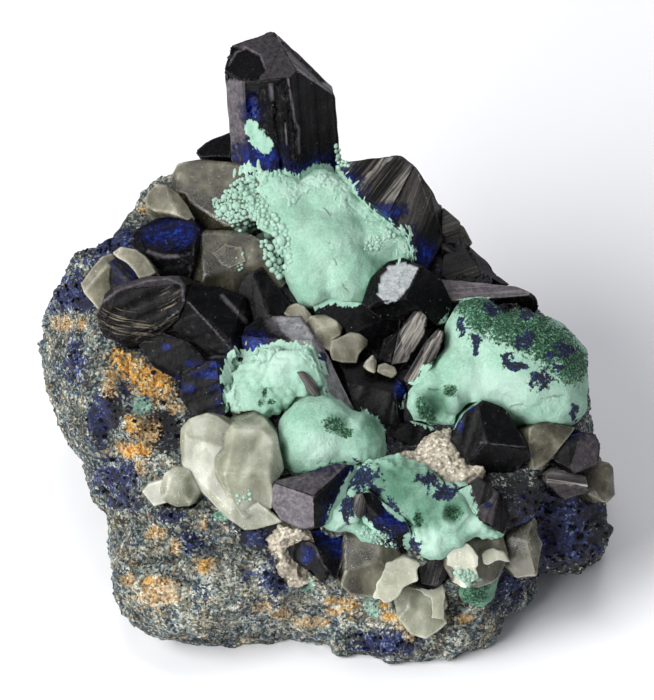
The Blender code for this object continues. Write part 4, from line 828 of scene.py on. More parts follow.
# Crystals cut afresh, finer than their solids: the outline as seen, how far out it starts and how deep it
# ends, and a place on each flat face with the way the face looks.
CALCITE_CRYSTALS = {
    "calcite_front_left": [
        dict(outline=[(-18.75, -11.1), (-18.6, -9.5), (-17.6, -8.25), (-15.4, -7.5), (-14, -7.9),
            (-11.9, -9.25), (-11.2, -12.2), (-8.2, -18.5), (-5.4, -21), (-7.2, -21.5), (-9, -22),
            (-10.5, -22.1), (-13.2, -20.1), (-15.9, -17.4), (-16.5, -16), (-18.4, -13.9)], near=11, far=0,
            lean=(-0.2, 0),
            facets=[((-15.5, -10.6, 8.3), (-0.05, 0.5, 0.86)), ((-16, -12, 8.4), (-0.25, -0.04, 0.97)),
            ((-18.2, -11.5, 7.3), (-0.85, 0.05, 0.5)), ((-17.6, -9.1, 7), (-0.6, 0.6, 0.5)),
            ((-15.6, -17, 7.9), (-0.62, -0.5, 0.6)), ((-11, -20.6, 8.8), (-0.15, -0.6, 0.78))]),
        dict(outline=[(-11.9, -9.25), (-9.1, -8.3), (-7.75, -8.9), (-6.25, -10.9), (-5.6, -14.1), (-5.4, -15),
            (-6.5, -16.5), (-7, -19.5), (-8.75, -21.25), (-10.5, -21), (-12.25, -18.5), (-14, -15.6),
            (-14.1, -13), (-13.2, -10.9)], near=13, far=0, lean=(0, -0.15),
            facets=[((-10, -15.4, 10.9), (0.05, 0.3, 0.95)), ((-10, -15.4, 10.9), (-0.05, -0.3, 0.95)),
            ((-13.2, -16.2, 9.7), (-0.75, -0.35, 0.56)), ((-13, -11.4, 8.9), (-0.6, 0.35, 0.72)),
            ((-6.4, -13.5, 9.3), (0.78, 0.1, 0.62)), ((-9.2, -9.4, 8.7), (0.05, 0.82, 0.57)),
            ((-7.2, -10.3, 8.9), (0.55, 0.6, 0.58)), ((-9.4, -20.2, 9.4), (0.15, -0.75, 0.64))]),
        dict(outline=[(-21.2, -17), (-20.6, -15.2), (-19.2, -14.3), (-17.6, -14.5), (-16.5, -15.9),
            (-16.4, -17.6), (-17.4, -19.2), (-19.2, -19.4), (-20.7, -18.6)], near=11, far=2,
            lean=(-0.3, -0.1),
            facets=[((-18.7, -16.6, 9), (-0.05, 0.08, 1)), ((-20.6, -16.4, 8.3), (-0.65, 0.2, 0.73)),
            ((-18.8, -14.7, 8.2), (0, 0.75, 0.66)), ((-16.9, -16.4, 8.4), (0.68, 0.1, 0.72)),
            ((-18.8, -18.8, 8.2), (-0.1, -0.75, 0.65))]),
        dict(outline=[(-23.4, -17.4), (-22.4, -16.3), (-20.2, -15.6), (-19.6, -18.6), (-21.6, -19.2)],
            near=8.6, far=3, lean=(-0.3, -0.1),
            facets=[((-21.6, -17.4, 7.6), (-0.4, 0.1, 0.91))]),
    ],
    "calcite_upper_left": [
        dict(outline=[(-20, 22.9), (-19.2, 24.3), (-16.6, 25), (-12.3, 24.4), (-8.6, 24.3), (-8, 21.5),
            (-8.4, 17), (-12.3, 15.4), (-15.6, 15.8), (-17.2, 18), (-18, 20), (-19.8, 20.4)], near=-4,
            far=-14, lean=(-0.1, 0.3),
            facets=[((-14, 20, -7.4), (-0.12, 0.28, 0.95)), ((-18.9, 22, -8.4), (-0.75, 0.2, 0.63)),
            ((-14, 24, -8.9), (0, 0.85, 0.53)), ((-17, 18.4, -7.6), (-0.55, -0.5, 0.67))]),
    ],
    "calcite_left_plate": [
        dict(outline=[(-16.6, 14.4), (-15.4, 15.4), (-10.6, 15.2), (-6.6, 13.4), (-5, 11), (-5.2, 8.6),
            (-8, 6.2), (-11, 7), (-16.6, 7.6), (-17.3, 11.3)], near=0, far=-9,
            facets=[((-11, 12, -3.6), (-0.05, 0.3, 0.95)), ((-11, 10.6, -3.2), (0.1, -0.3, 0.94)),
            ((-6.6, 10.5, -3.9), (0.7, 0.12, 0.7)), ((-15.9, 12, -4), (-0.7, 0.15, 0.7)),
            ((-12, 14.9, -4.6), (0, 0.85, 0.53))]),
        dict(outline=[(-14.6, 12.4), (-12.9, 13.7), (-10.8, 13.2), (-10.2, 11.3), (-12.4, 10.4),
            (-13.4, 10.8)], near=-2.9, far=-6,
            facets=[((-12.4, 12, -3.35), (-0.1, 0.22, 0.97))]),
    ],
    "calcite_left_shells": [
        dict(outline=[(-31.2, 8.6), (-29.8, 10.5), (-28.5, 12), (-27.5, 12.5), (-27, 11.8), (-27.2, 10.2),
            (-27.5, 8.6), (-27.1, 7.4), (-27.9, 6.5), (-29.1, 5.4), (-29.8, 6.5), (-30.5, 7.4)], near=1.6,
            far=-3.4, lean=(-0.3, 0.1),
            facets=[((-29.2, 9.6, -0.9), (-0.4, 0.3, 0.87)), ((-28.6, 8.6, -0.9), (0.25, -0.25, 0.94)),
            ((-27.8, 11.6, -1.2), (0.3, 0.6, 0.74))]),
        dict(outline=[(-27.1, 12.5), (-26, 13.3), (-24.1, 13), (-22.9, 12.1), (-22, 10.9), (-21.5, 9.9),
            (-22.3, 9.4), (-23.5, 9), (-24.1, 10), (-25.1, 11.1), (-26.3, 11.8)], near=2, far=-3.4,
            lean=(-0.2, 0.2),
            facets=[((-24.4, 11.6, -0.4), (0.2, 0.35, 0.91)), ((-26.4, 12.6, -0.6), (-0.3, 0.4, 0.86))]),
    ],
    "calcite_tooth": [
        dict(outline=[(-22.8, 19.6), (-22.4, 20.6), (-21.4, 21.3), (-20.2, 21.2), (-18.8, 20.2),
            (-17.6, 18.6), (-16.7, 16.6), (-17.6, 16.4), (-19.6, 17.2), (-21.8, 17.6), (-22.7, 18.4)],
            near=-2, far=-11, lean=(0.1, 0.2),
            facets=[((-20.4, 19.2, -5.6), (-0.1, 0.35, 0.93)), ((-22, 19.6, -6.2), (-0.7, 0.3, 0.65)),
            ((-19, 19.2, -5.9), (0.4, 0.5, 0.77))]),
    ],
    "calcite_centre": [
        dict(outline=[(-5.6, 4.8), (-4.9, 5.8), (-3.9, 6.1), (-2.9, 5.7), (-2, 4.6), (-2.7, 3.4), (-4.6, 4)],
            near=2, far=-4,
            facets=[((-3.5, 4.9, -0.6), (-0.1, 0.4, 0.91)), ((-4.6, 5.2, -0.9), (-0.6, 0.35, 0.72)),
            ((-2.6, 5.2, -0.8), (0.5, 0.5, 0.7))]),
        dict(outline=[(-3.3, 4.1), (-2, 4.6), (-0.4, 4.7), (1.1, 3.9), (1.8, 3.1), (1.6, 2.1), (0.6, 1.5),
            (0.5, 0), (-1, 0.6), (-1.9, 1.6), (-2.8, 3)], near=3.5, far=-3,
            facets=[((-0.6, 3.4, 0.7), (-0.05, 0.45, 0.89)), ((0.2, 1.8, 1), (0.1, 0.1, 0.98)),
            ((1.5, 2.9, 0.4), (0.75, 0.3, 0.6)), ((-0.4, 4.4, 0.1), (0, 0.9, 0.45)),
            ((-2.6, 3.6, -0.1), (-0.6, 0.3, 0.74))]),
        dict(outline=[(0.4, 1.4), (1.8, 2), (2.8, 2.5), (4, 2.3), (5, 1.5), (4.9, 0.8), (3.9, -0.2),
            (3.6, -1.4), (1.7, -1.3), (0.5, -1), (0.2, 0)], near=3.5, far=-2.5,
            facets=[((2.4, 1, 1.1), (0.1, 0.4, 0.91)), ((2.6, -0.3, 1.4), (0.05, -0.1, 0.99)),
            ((4.4, 0.9, 0.7), (0.7, 0.2, 0.68)), ((3.4, 2.3, 0.4), (0.1, 0.85, 0.52))]),
    ],
    "calcite_small_teeth": [
        dict(outline=[(5.6, -0.3), (6.1, -1.1), (5.9, -2.7), (5, -2.4), (4.3, -1.8), (4.7, -1.1)], near=4.5,
            far=0,
            facets=[((5.3, -1.5, 2.65), (-0.3, 0.2, 0.93)), ((5.6, -1.6, 2.65), (0.45, 0.2, 0.87))]),
        dict(outline=[(6.2, -1.6), (7.1, -1.3), (8.4, -1.9), (8.6, -2.7), (8, -3.3), (6.9, -2.9),
            (6.1, -2.5)], near=4, far=-1,
            facets=[((7.2, -2.1, 2.3), (0.1, 0.5, 0.86)), ((7.3, -2.6, 2.45), (0.1, -0.3, 0.95))]),
    ],
    "calcite_front_block": [
        dict(outline=[(2.1, -22.3), (5.3, -22.4), (7.8, -23.5), (9, -25.4), (9.8, -27), (9, -30), (6.5, -31),
            (2.8, -30.4), (0.8, -28.4)], near=11, far=0, lean=(0, -0.3),
            facets=[((4.5, -25, 7.8), (-0.12, 0.22, 0.97)), ((5.5, -28.4, 7.6), (0.05, -0.3, 0.95)),
            ((1.6, -26, 7), (-0.85, 0.1, 0.5)), ((8.6, -27, 6.8), (0.6, 0.1, 0.79)),
            ((4, -22.8, 7.2), (0, 0.85, 0.53))]),
    ],
    "calcite_front_low": [
        dict(outline=[(8, -29.8), (10, -29.2), (12.4, -29.3), (14, -28.8), (14.8, -29.8), (14.1, -30.6),
            (15, -31.6), (14.3, -32.6), (14.9, -33.8), (13.6, -35), (12.2, -36), (10.3, -35.4), (8.6, -33.2)],
            near=6, far=-1, lean=(0, -0.2),
            facets=[((12, -31.5, 3.6), (0.12, 0.08, 0.99)), ((11, -33.4, 3.4), (-0.15, -0.35, 0.92)),
            ((9.2, -31.5, 3.2), (-0.6, 0.1, 0.79))]),
    ],
    "calcite_front_right": [
        dict(outline=[(14.5, -24.3), (16.3, -22.3), (19.6, -22), (22, -23.3), (22.9, -26), (21.5, -28.6),
            (19, -29.8), (16, -29.3), (14.6, -27)], near=10, far=-1, lean=(0.15, -0.25),
            facets=[((18.5, -24, 7.3), (0.1, 0.45, 0.89)), ((17, -26.6, 7.4), (-0.2, -0.12, 0.97)),
            ((21, -26, 6), (0.55, -0.1, 0.83)), ((18.5, -28.8, 6.4), (0.05, -0.8, 0.6))]),
        dict(outline=[(21.6, -26), (22.3, -22.9), (23.6, -20.6), (25, -20), (26.6, -21.2), (26.4, -22.6),
            (27.4, -24.1), (26.6, -26), (26, -27.9), (23.8, -28.3)], near=8, far=-2, lean=(0.45, -0.2),
            facets=[((24.5, -22.5, 4.8), (-0.1, 0.42, 0.9)), ((24.6, -25.5, 4.9), (-0.25, -0.15, 0.95)),
            ((26, -23.5, 4.2), (0.7, 0.1, 0.7))]),
    ],
}
# Pale broken flakes grown on the front crystals.
CALCITE_FLAKES = [
    dict(outline=[(5.6, -30.4), (6.3, -28.3), (7, -26.3), (9.3, -25.5), (11.4, -26.4), (10.9, -27.4),
        (11.2, -28.4), (9.2, -29.4), (8.6, -30.4), (7.3, -31)], near=9.2, far=3, lean=(0, -0.2),
        facets=[((8.5, -28, 7.9), (0.12, 0.1, 0.99))]),
    dict(outline=[(14.8, -24.6), (15.9, -23.7), (17.8, -24), (18.8, -25.5), (18.3, -26.8), (18.6, -27.9),
        (17, -29.3), (15.6, -28.6), (15.8, -27.2), (14.9, -26.4)], near=9.2, far=3, lean=(0.1, -0.2),
        facets=[((16.8, -26.6, 8), (-0.15, 0, 0.99))]),
    dict(outline=[(18.7, -24.9), (20.2, -24.3), (22.1, -24.9), (22.6, -26.1), (20.9, -25.9), (19.5, -26.5)],
        near=8.6, far=3, lean=(0.1, -0.2),
        facets=[((20.5, -25.4, 7.1), (0.2, 0.2, 0.96))]),
    dict(outline=[(10.8, -29.4), (14.2, -28.9), (14.6, -30.6), (14.3, -33.4), (13, -33), (12.9, -30.8)],
        near=6.4, far=2, lean=(0, -0.2),
        facets=[((13.2, -31, 4.1), (0.15, 0.1, 0.98))]),
]
# The crystals by how cloudy they are.
CLEAR_CALCITE = ("calcite_upper_left", "calcite_left_plate", "calcite_right", "calcite_end", "calcite_rear",
                 "calcite_front_block", "calcite_front_right")
DULL_CALCITE = ("calcite_tooth", "calcite_left_shells", "calcite_centre", "calcite_small_teeth")


def cut_crystal(outline, near, far, facets, lean=(0, 0)):
    """A crystal from its outline at its first face's depth, leaning so far across and up for each mm out."""
    side, up = lean
    back = far - facets[0][0][2]
    bm = prism([(a + side * back, b + up * back) for a, b in outline], far, near, lean)
    for place, normal in facets:
        cut = bmesh.ops.bisect_plane(
            bm, geom=bm.verts[:] + bm.edges[:] + bm.faces[:], dist=1e-7, plane_co=TO_WORLD @ Vector(place),
            plane_no=TO_WORLD.to_3x3() @ Vector(normal), clear_outer=True)
        rim = [g for g in cut["geom_cut"] if isinstance(g, bmesh.types.BMEdge)]
        if rim:
            bmesh.ops.edgenet_fill(bm, edges=rim)
    bmesh.ops.remove_doubles(bm, verts=bm.verts, dist=TOUCHING)
    bmesh.ops.recalc_face_normals(bm, faces=bm.faces)
    return bm


def together(parts):
    """The meshes as one, each still its own closed body."""
    whole = bmesh.new()
    mesh = bpy.data.meshes.new("work")
    for part in parts:
        part.to_mesh(mesh)
        part.free()
        whole.from_mesh(mesh)
    bpy.data.meshes.remove(mesh)
    return whole


def jagged(outline, rng):
    """The outline with a broken edge: a point every half millimetre, each a little off the line."""
    broken = []
    for start, end in zip(outline, outline[1:] + outline[:1]):
        start, end = Vector(start), Vector(end)
        pieces = max(1, round((end - start).length / 0.5))
        for i in range(pieces):
            spot = start.lerp(end, i / pieces)
            broken.append((spot.x + rng.uniform(-0.16, 0.16), spot.y + rng.uniform(-0.16, 0.16)))
    return broken


def calcite_body(bm, seed, wear=CALCITE_WEAR):
    """The crystal with its edges worn round and its faces a little uneven."""
    bm = finely_meshed(edges_worn(flat_faces_joined(bm), wear), CALCITE_MESH)
    roughened(bm, CALCITE_SWELLS, seed)
    return bm


def edge_marks(bm):
    """1 on the edges between its faces, 0 on the faces."""
    bm.normal_update()
    bends = [min((v.normal.dot(face.normal) for face in v.link_faces), default=1.0) for v in bm.verts]
    return {"edge": [min(1.0, max(0.0, (0.985 - bend) / 0.06)) for bend in bends]}


def cut_crystals(crystals):
    return together([calcite_body(cut_crystal(**crystal), 2.3 + i) for i, crystal in enumerate(crystals)])


def make_calcite(clear, dull, cloudy, crust):
    """The calcite pieces in their four materials."""
    materials = {**dict.fromkeys(CLEAR_CALCITE, clear), **dict.fromkeys(DULL_CALCITE, dull)}
    made = []
    for node in sorted(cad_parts):
        if node.startswith("calcite_crust"):
            bm = reskinned(grown(solid_copy(node), CRUST_GROWTH), CRUST_VOXEL, 3)
            roughened(bm, CRUST_SWELLS, 5.9)
            made.append(finish_piece(node + "_skin", bm, [node], "calcite_crust", crust))
        elif node.startswith("calcite"):
            if node in CALCITE_CRYSTALS:
                bm = cut_crystals(CALCITE_CRYSTALS[node])
            else:
                bm = calcite_body(grown(solid_copy(node), CRYSTAL_GROWTH), 2.3, 3.5 * CALCITE_WEAR)
            finish = (materials.get(node, cloudy), edge_marks(bm))
            made.append(finish_piece(node + "_skin", bm, [node], "calcite", *finish, sharp=True))
    rng = random.Random(3)
    flakes = cut_crystals([{**flake, "outline": jagged(flake["outline"], rng)} for flake in CALCITE_FLAKES])
    marks = {"edge": [1.0] * len(flakes.verts)}
    made.append(finish_piece("calcite_flakes", flakes, [], "calcite", cloudy, marks, smooth=False))
    return made


# Azurite: the way each crystal's fine lines run, as (across, up, out); the faces with a painted sheen, which
# is a painted reflection, by the way they look, each with how strong the sheen is and how streaky it is;
# paths of painted highlight along lit edges, and over the coated crystal's coating, as a path and its width
# in mm; bare faces without sheen, and faces with a painted reflection (on the coated crystal its coating,
# painted paler), as outlines; and spots of blue, of malachite film and of strong lines.
AZURITE_FINISH = {
    "azurite_tower": dict(lines=(-0.074, 1, 0.36), mesh=0.3, dents=[(0.35, [(-5.4, 34.2), (-4.9, 30.2),
        (-4.1, 28), (-3.8, 21), (-5.6, 21), (-6.6, 28), (-6.8, 33.2)]), (0.3, [(-6.1, 39.6), (-4.9, 38.6),
        (-1.8, 35.6), (-0.4, 34.2), (-1.2, 33.8), (-4.6, 36.4)]), (0.2, [(-13.4, 36.6), (-12.2, 38.6),
        (-10.4, 38.4), (-8.6, 37.2), (-8, 35.4), (-8.8, 34.2), (-13.4, 34.2)])], hollows=[(0.5,
        [(-9.4, 31.2, 0.9, 1.3)])], sheen_faces=[((-0.95, 0, 0.3), 0.8, 0), ((-0.77, -0.27, 0.58), 0.7, 0),
        ((-0.15, 0.78, 0.61), 0.3, 0)], bare=[[(-13.4, 36.6), (-12.2, 38.6), (-10.4, 38.4), (-8.6, 37.2),
        (-8, 35.4), (-8.8, 34.2), (-13.4, 34.2)], [(-10.4, 32.6), (-8, 32.6), (-8.4, 29.8), (-9.6, 29.6)]],
        worn=[([(-5, 34.2), (-4.7, 32.4), (-4.2, 29.2), (-3.6, 28), (-3.6, 25)], 0.2), ([(-5.4, 28.5),
        (-5.2, 25.9)], 0.12), ([(-7.2, 33.4), (-7, 31.8)], 0.4), ([(-12.6, 36.2), (-11.6, 38), (-10.4, 38.5),
        (-8.5, 37.4), (-7.9, 35.6)], 0.18), ([(-6.2, 39.4), (-0.2, 33.4)], 0.55), ([(-10.6, 34.4),
        (-10.4, 30)], 0.12)], blue=[(-9.6, 30.2, 1.8, 2.6), (-9, 24.6, 4.6, 2.8), (-1.5, 22.6, 4.8, 2.2)],
        film=[(-9.6, 28, 1, 1.2), (-8.75, 26.9, 1.2, 1.4), (-7.9, 25.9, 1, 1.1), (-8, 18.8, 4, 3.6),
        (-1.2, 18.4, 4.2, 3.6)]),
    "azurite_striated_crystal": dict(lines=(0.48, 0.87, -0.1), sheen_faces=[((-0.35, 0.55, 0.76), 1, 1),
        ((0.62, 0.05, 0.78), 0.3, 1)], worn=[([(7.6, 23.4), (10.7, 24.4), (12.4, 19.2), (14.4, 14)], 0.15)],
        blue=[(7.5, 17.5, 3.5, 1.6), (2.6, 20.6, 1.6, 2), (12, 12.5, 2.4, 2.6)]),
    # the mirror crystal's bright face: a painted reflection
    "azurite_mirror_crystal": dict(lines=(0.8, 0.5, 0), blue_reach=0.8, reflection_and_coating=[(6.2, 7.2), (6.6, 9.2),
        (7.6, 10.7), (9.4, 11.2), (11.3, 10.5), (10, 8), (8.6, 6.4), (7.2, 6)]),
    "azurite_front_crystal": dict(lines=(0.3, 0.9, 0), sheen_faces=[((-0.35, -0.28, 0.89), 1.15, 0),
        ((0, 0.66, 0.75), 0.5, 0)]),
    "azurite_coated_crystal": dict(lines=(0.6, -0.8, 0), blue_reach=0.7, sheen_faces=[((0.7, 0.3, 0.65), 1.3, 0)],
        worn=[([(-6, 4.2), (-4.2, 3.4), (-2.2, 2), (0.6, -2.4), (1.5, -4.8), (3, -7.4)], 2.2)], sheen=0.4,
        reflection_and_coating=[(-6.6, 4.3), (-3.5, 4.3), (-2, 2), (2.1, -4.1), (3.5, -7.3), (2.1, -7.9), (0.2, -5.4),
        (-2, -1.6), (-3.5, 0.9), (-5.4, 2.1)], blue=[(-9.4, 1, 3.4, 2.2), (-9, 0.4, 1.6, 1),
        (-0.8, -1.4, 0.9, 1.6)]),
    "azurite_right_ridge": dict(lines=(0.98, 0.1, 0), blue_reach=1, sheen_faces=[((0.02, 0.62, 0.78), 1.1, 0.3),
        ((0.5, 0.62, 0.6), 0.5, 0.2)]),
    "azurite_blades": dict(lines=(0.5, 0.85, 0), blue_reach=0.8, sheen_faces=[((-0.35, 0.2, 0.92), 0.85, 1),
        ((-0.4, 0.15, 0.9), 0.85, 0.4), ((0.1, 0.2, 0.97), 0.3, 0)]),
    "azurite_left_cluster": dict(lines=(0.93, 0.37, 0), arcs=((-23, 14), -17.8),
        sheen_faces=[((-0.12, 0.75, 0.65), 0.3, 0)], lined=[(-26.4, 3.8, 3.8, 2.6), (-23, 2.6, 4, 1.7),
        (-19.6, 6, 1.7, 3.2)], worn=[([(-28.2, 6.2), (-26, 7.8), (-22.4, 8.9), (-20.1, 9.2), (-18.2, 8.4),
        (-18, 6.4)], 0.2), ([(-13.2, 7), (-12, 5.8), (-10.2, 3.8)], 0.35), ([(-17.6, 6.4), (-14.6, 3.2),
        (-12, 0.2)], 0.1), ([(-24.2, 1.4), (-21, 3.2), (-18.6, 5.2)], 0.1)], blue=[(-18.7, -3.4, 1, 0.8),
        (-16.6, -1.4, 1.4, 0.8), (-14, -1.6, 1.2, 0.8), (-15.2, -2.8, 2.4, 0.9), (-17.6, -4.4, 1.4, 1),
        (-13.4, -4.6, 1.6, 1), (-20.2, 0.6, 0.9, 0.6)]),
    "azurite_upper_left_crystal": dict(lines=(0.9, 0.2, 0), blue=[(-19.5, 14.8, 5, 2.4)],
        worn=[([(-22.6, 12.6), (-20.6, 11.9), (-18.8, 12)], 0.35)]),
    "azurite_rear_left_crystal": dict(lines=(0.3, 0.9, 0), blue=[(-20.2, 22.2, 1, 1)]),
    "azurite_hollow_crystal": dict(lines=(0.2, 0.9, 0), blue_reach=0.8, blue=[(9, -4.5, 1.4, 1.4)]),
    "azurite_middle_crystal": dict(lines=(0.35, 0.93, 0.1), blue_reach=0.8),
    "azurite_shaded_crystal": dict(lines=(0.35, 0.93, 0.1), blue_reach=0.8),
    "azurite_right_crystal": dict(lines=(0.3, 0.9, 0), blue_reach=0.8, blue=[(17.8, -6.9, 0.8, 0.6),
        (16.4, -9, 0.6, 1.6)], worn=[([(18.8, -11.2), (24.4, -11.8)], 0.08)]),
    "azurite_right_end": dict(lines=(0.9, 0.3, 0), sheen_faces=[((0, 0.5, 0.86), 0.4, 0.5), ((0.5, 0.25, 0.83),
        0.5, 0)]),
    "azurite_grey_wedge": dict(lines=(0.35, 0.93, 0.1), blue_reach=0.7, sheen_faces=[((0.2, 0.35, 0.91), 0.45,
        0)], blue=[(19.9, -19, 0.7, 0.5)]),
    "azurite_front_pair": dict(lines=(0.2, 0.9, 0), blue=[(-8.4, -22.8, 1.8, 1.6), (1, -23.6, 1.6, 2.4),
        (-2.6, -25.2, 1.3, 1.5)], worn=[([(-1.8, -22.2), (0.4, -22.4), (1.9, -24.4), (1.6, -27)], 0.16),
        ([(-4.6, -23.4), (-2, -24), (0.2, -27.6)], 0.12)]),
    "azurite_blue_ridge": dict(lines=(0.6, -0.8, 0), blue_reach=1, blue=[(8, -21, 2.6, 2)]),
}
# What a crystal has where the list above names nothing else.
PLAIN_FINISH = dict(
    lines=(0.35, 0.93, 0.1), mesh=FACET_MESH, dents=[], hollows=[], sheen_faces=[], bare=[], worn=[], lined=[],
    reflection_and_coating=[], sheen=1.0, arcs=None, film=[], blue=[], blue_reach=2.6)  # mm of blue beyond the malachite
FILM_REACH = 0.75  # mm that the malachite's skin creeps over a crystal


def flat_faces_joined(bm):
    bmesh.ops.dissolve_limit(
        bm, angle_limit=math.radians(1.5), verts=bm.verts, edges=bm.edges, delimit={"NORMAL"})
    return bm


def edges_worn(bm, wear=EDGE_WEAR):
    """Rounds the crystal's edges by a hair."""
    sharp = [e for e in bm.edges if e.is_manifold and e.calc_face_angle(0) > math.radians(12)]
    bmesh.ops.bevel(
        bm, geom=sharp, offset=wear * MM, offset_type="OFFSET", segments=1, profile=0.5,
        affect="EDGES", clamp_overlap=True, material=-1)
    return bm


def finely_meshed(bm, longest):
    """Splits the long edges until none is longer than that many mm."""
    bmesh.ops.triangulate(bm, faces=bm.faces)
    for _ in range(7):
        long_edges = [e for e in bm.edges if e.calc_length() > longest * MM]
        if not long_edges:
            break
        bmesh.ops.subdivide_edges(bm, edges=long_edges, cuts=1)
        bmesh.ops.triangulate(bm, faces=bm.faces)
    return bm


def lay_grain(bm, lines, arcs=None):
    """A UV map in mm on every face: V runs along the crystal's lines and U across them.

    Arcs are a centre in (across, up) that the lines bend round, on the faces left of a place across.
    """
    layer = bm.loops.layers.uv.new("grain")
    along = (TO_WORLD.to_3x3() @ Vector(lines)).normalized()
    for face in bm.faces:
        way = along - face.normal * along.dot(face.normal)
        if way.length < 0.25:
            way = TO_VIEWER - face.normal * TO_VIEWER.dot(face.normal)
        way.normalize()
        side = face.normal.cross(way)
        bent = arcs and on_display(face.calc_center_median()).x < arcs[1]
        for loop in face.loops:
            if bent:
                spot = on_display(loop.vert.co).to_2d() - Vector(arcs[0])
                loop[layer].uv = (spot.length, math.atan2(spot.x, -spot.y) * ARC_LENGTH)
            else:
                co = loop.vert.co / MM
                loop[layer].uv = (co.dot(side), co.dot(way))


def sheen_marks(bm, sheen_faces):
    """For each place, how strong its painted sheen is and how streaky it is, from the faces given for the
    painted sheen.
    """
    turn = TO_WORLD.to_3x3()
    ways = [((turn @ Vector(way)).normalized(), amount, streaky) for way, amount, streaky in sheen_faces]
    dull, streaked = [], []
    for vert in bm.verts:
        matches = [(amount * min(1.0, max(0.0, (vert.normal.dot(way) - 0.93) / 0.04)), streaky)
                   for way, amount, streaky in ways]
        caught, streaky = max(matches, default=(0.0, 0.0))
        dull.append(caught)
        streaked.append(streaky if caught else 0.0)
    return dull, streaked


def path_distance(spot, path):
    """How far the place is from the path, in mm."""
    distances = []
    for start, end in zip(map(Vector, path), map(Vector, path[1:])):
        along = (spot - start).dot(end - start) / (end - start).length_squared
        distances.append((spot - start.lerp(end, min(1.0, max(0.0, along)))).length)
    return min(distances)


def worn_marks(bm, worn):
    """How near each place that faces the viewer is to a path of painted highlight: 1 on it, 0 beyond its
    width.
    """
    marks = []
    for vert in bm.verts:
        spot = on_display(vert.co).to_2d()
        seen = worn if vert.normal.dot(TO_VIEWER) > 0.1 else []
        marks.append(max((0.0, *(1 - path_distance(spot, path) / wide for path, wide in seen))))
    return marks


def outline_marks(bm, outline):
    """1 for the places inside the outline that face the viewer, 0 elsewhere."""
    return [
        float(v.normal.dot(TO_VIEWER) > 0.4 and inside(on_display(v.co).to_2d(), outline)) for v in bm.verts]


def weathered(bm, lines, seed):
    """Low ledges along the crystal's lines, a slight waviness, and chips out of its edges."""
    along = (TO_WORLD.to_3x3() @ Vector(lines)).normalized()
    offset = Vector((seed, 3.3, 7.1))

    def height_at(vert):
        place = vert.co / MM
        ledge = noise.cell(Vector((place.dot(along.cross(vert.normal)) / LEDGE_WIDTH, seed, 0.5)))
        height = LEDGE * (ledge - 0.5) + WAVINESS * noise.noise(place / 1.7 + offset)
        bend = min((vert.normal.dot(face.normal) for face in vert.link_faces), default=1.0)
        if bend < 0.9:
            height -= CHIP * max(0.0, noise.noise(place / 1.1 + offset) + 0.1)
        return height

    raised(bm, height_at)


def dented(bm, dents, hollows):
    """Pushes the surface in by a depth in mm: sharply inside an outline, softly inside a hollow's spots."""

    def height_at(vert):
        if vert.normal.dot(TO_VIEWER) <= 0.15:
            return 0.0
        spot = on_display(vert.co)
        sway = Vector((noise.noise(vert.co * 1500), noise.noise(vert.co * 1500 + Vector((5, 5, 5))))) * 0.25
        depth = sum(depth for depth, outline in dents if inside(spot.to_2d() + sway, outline))
        depth += sum(depth * min(1.0, max(0.0, 2 * spot_strength(spot, spots))) for depth, spots in hollows)
        return -depth

    raised(bm, height_at)


def make_azurite(material, malachite):
    tree = surface_tree(malachite)
    made = []
    for node in sorted(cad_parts):
        if not node.startswith("azurite"):
            continue
        finish = {**PLAIN_FINISH, **AZURITE_FINISH.get(node, {})}
        bm = flat_faces_joined(grown(solid_copy(node), CRYSTAL_GROWTH))
        bm = finely_meshed(edges_worn(bm), finish["mesh"])
        bm.normal_update()
        lay_grain(bm, finish["lines"], finish["arcs"])
        dull, streaked = sheen_marks(bm, finish["sheen_faces"])
        worn = worn_marks(bm, finish["worn"])
        spots = [on_display(v.co).to_2d() for v in bm.verts]
        bare = [any(inside(spot, outline) for outline in finish["bare"]) for spot in spots]
        edges = edge_marks(bm)["edge"]
        dented(bm, finish["dents"], finish["hollows"])
        weathered(bm, finish["lines"], len(made) * 5.7)
        marks = spot_marks(bm, {mark: finish[mark] for mark in ("lined", "film", "blue")})
        near = [tree.find_nearest(v.co)[3] / MM for v in bm.verts]
        for mark, reach in (("film", FILM_REACH), ("blue", finish["blue_reach"])):
            marks[mark] = [max(strength, 1 - gap / reach) for strength, gap in zip(marks[mark], near)]
        # painted sheen: highlights along the paths, a faint painted highlight on every edge, and the painted
        # reflection of the chosen faces except where bare
        marks["dull"] = [max(w, 0.15 * e, 0.0 if b else d) for w, e, b, d in zip(worn, edges, bare, dull)]
        marks["streaked"] = streaked
        # painted reflection on the outlined faces, and the coated crystal's coating at part strength
        marks["reflection_and_coating"] = [finish["sheen"] * mark for mark in outline_marks(bm, finish["reflection_and_coating"])]
        made.append(finish_piece(node + "_skin", bm, [node], "azurite", material, marks, sharp=True))
    return made
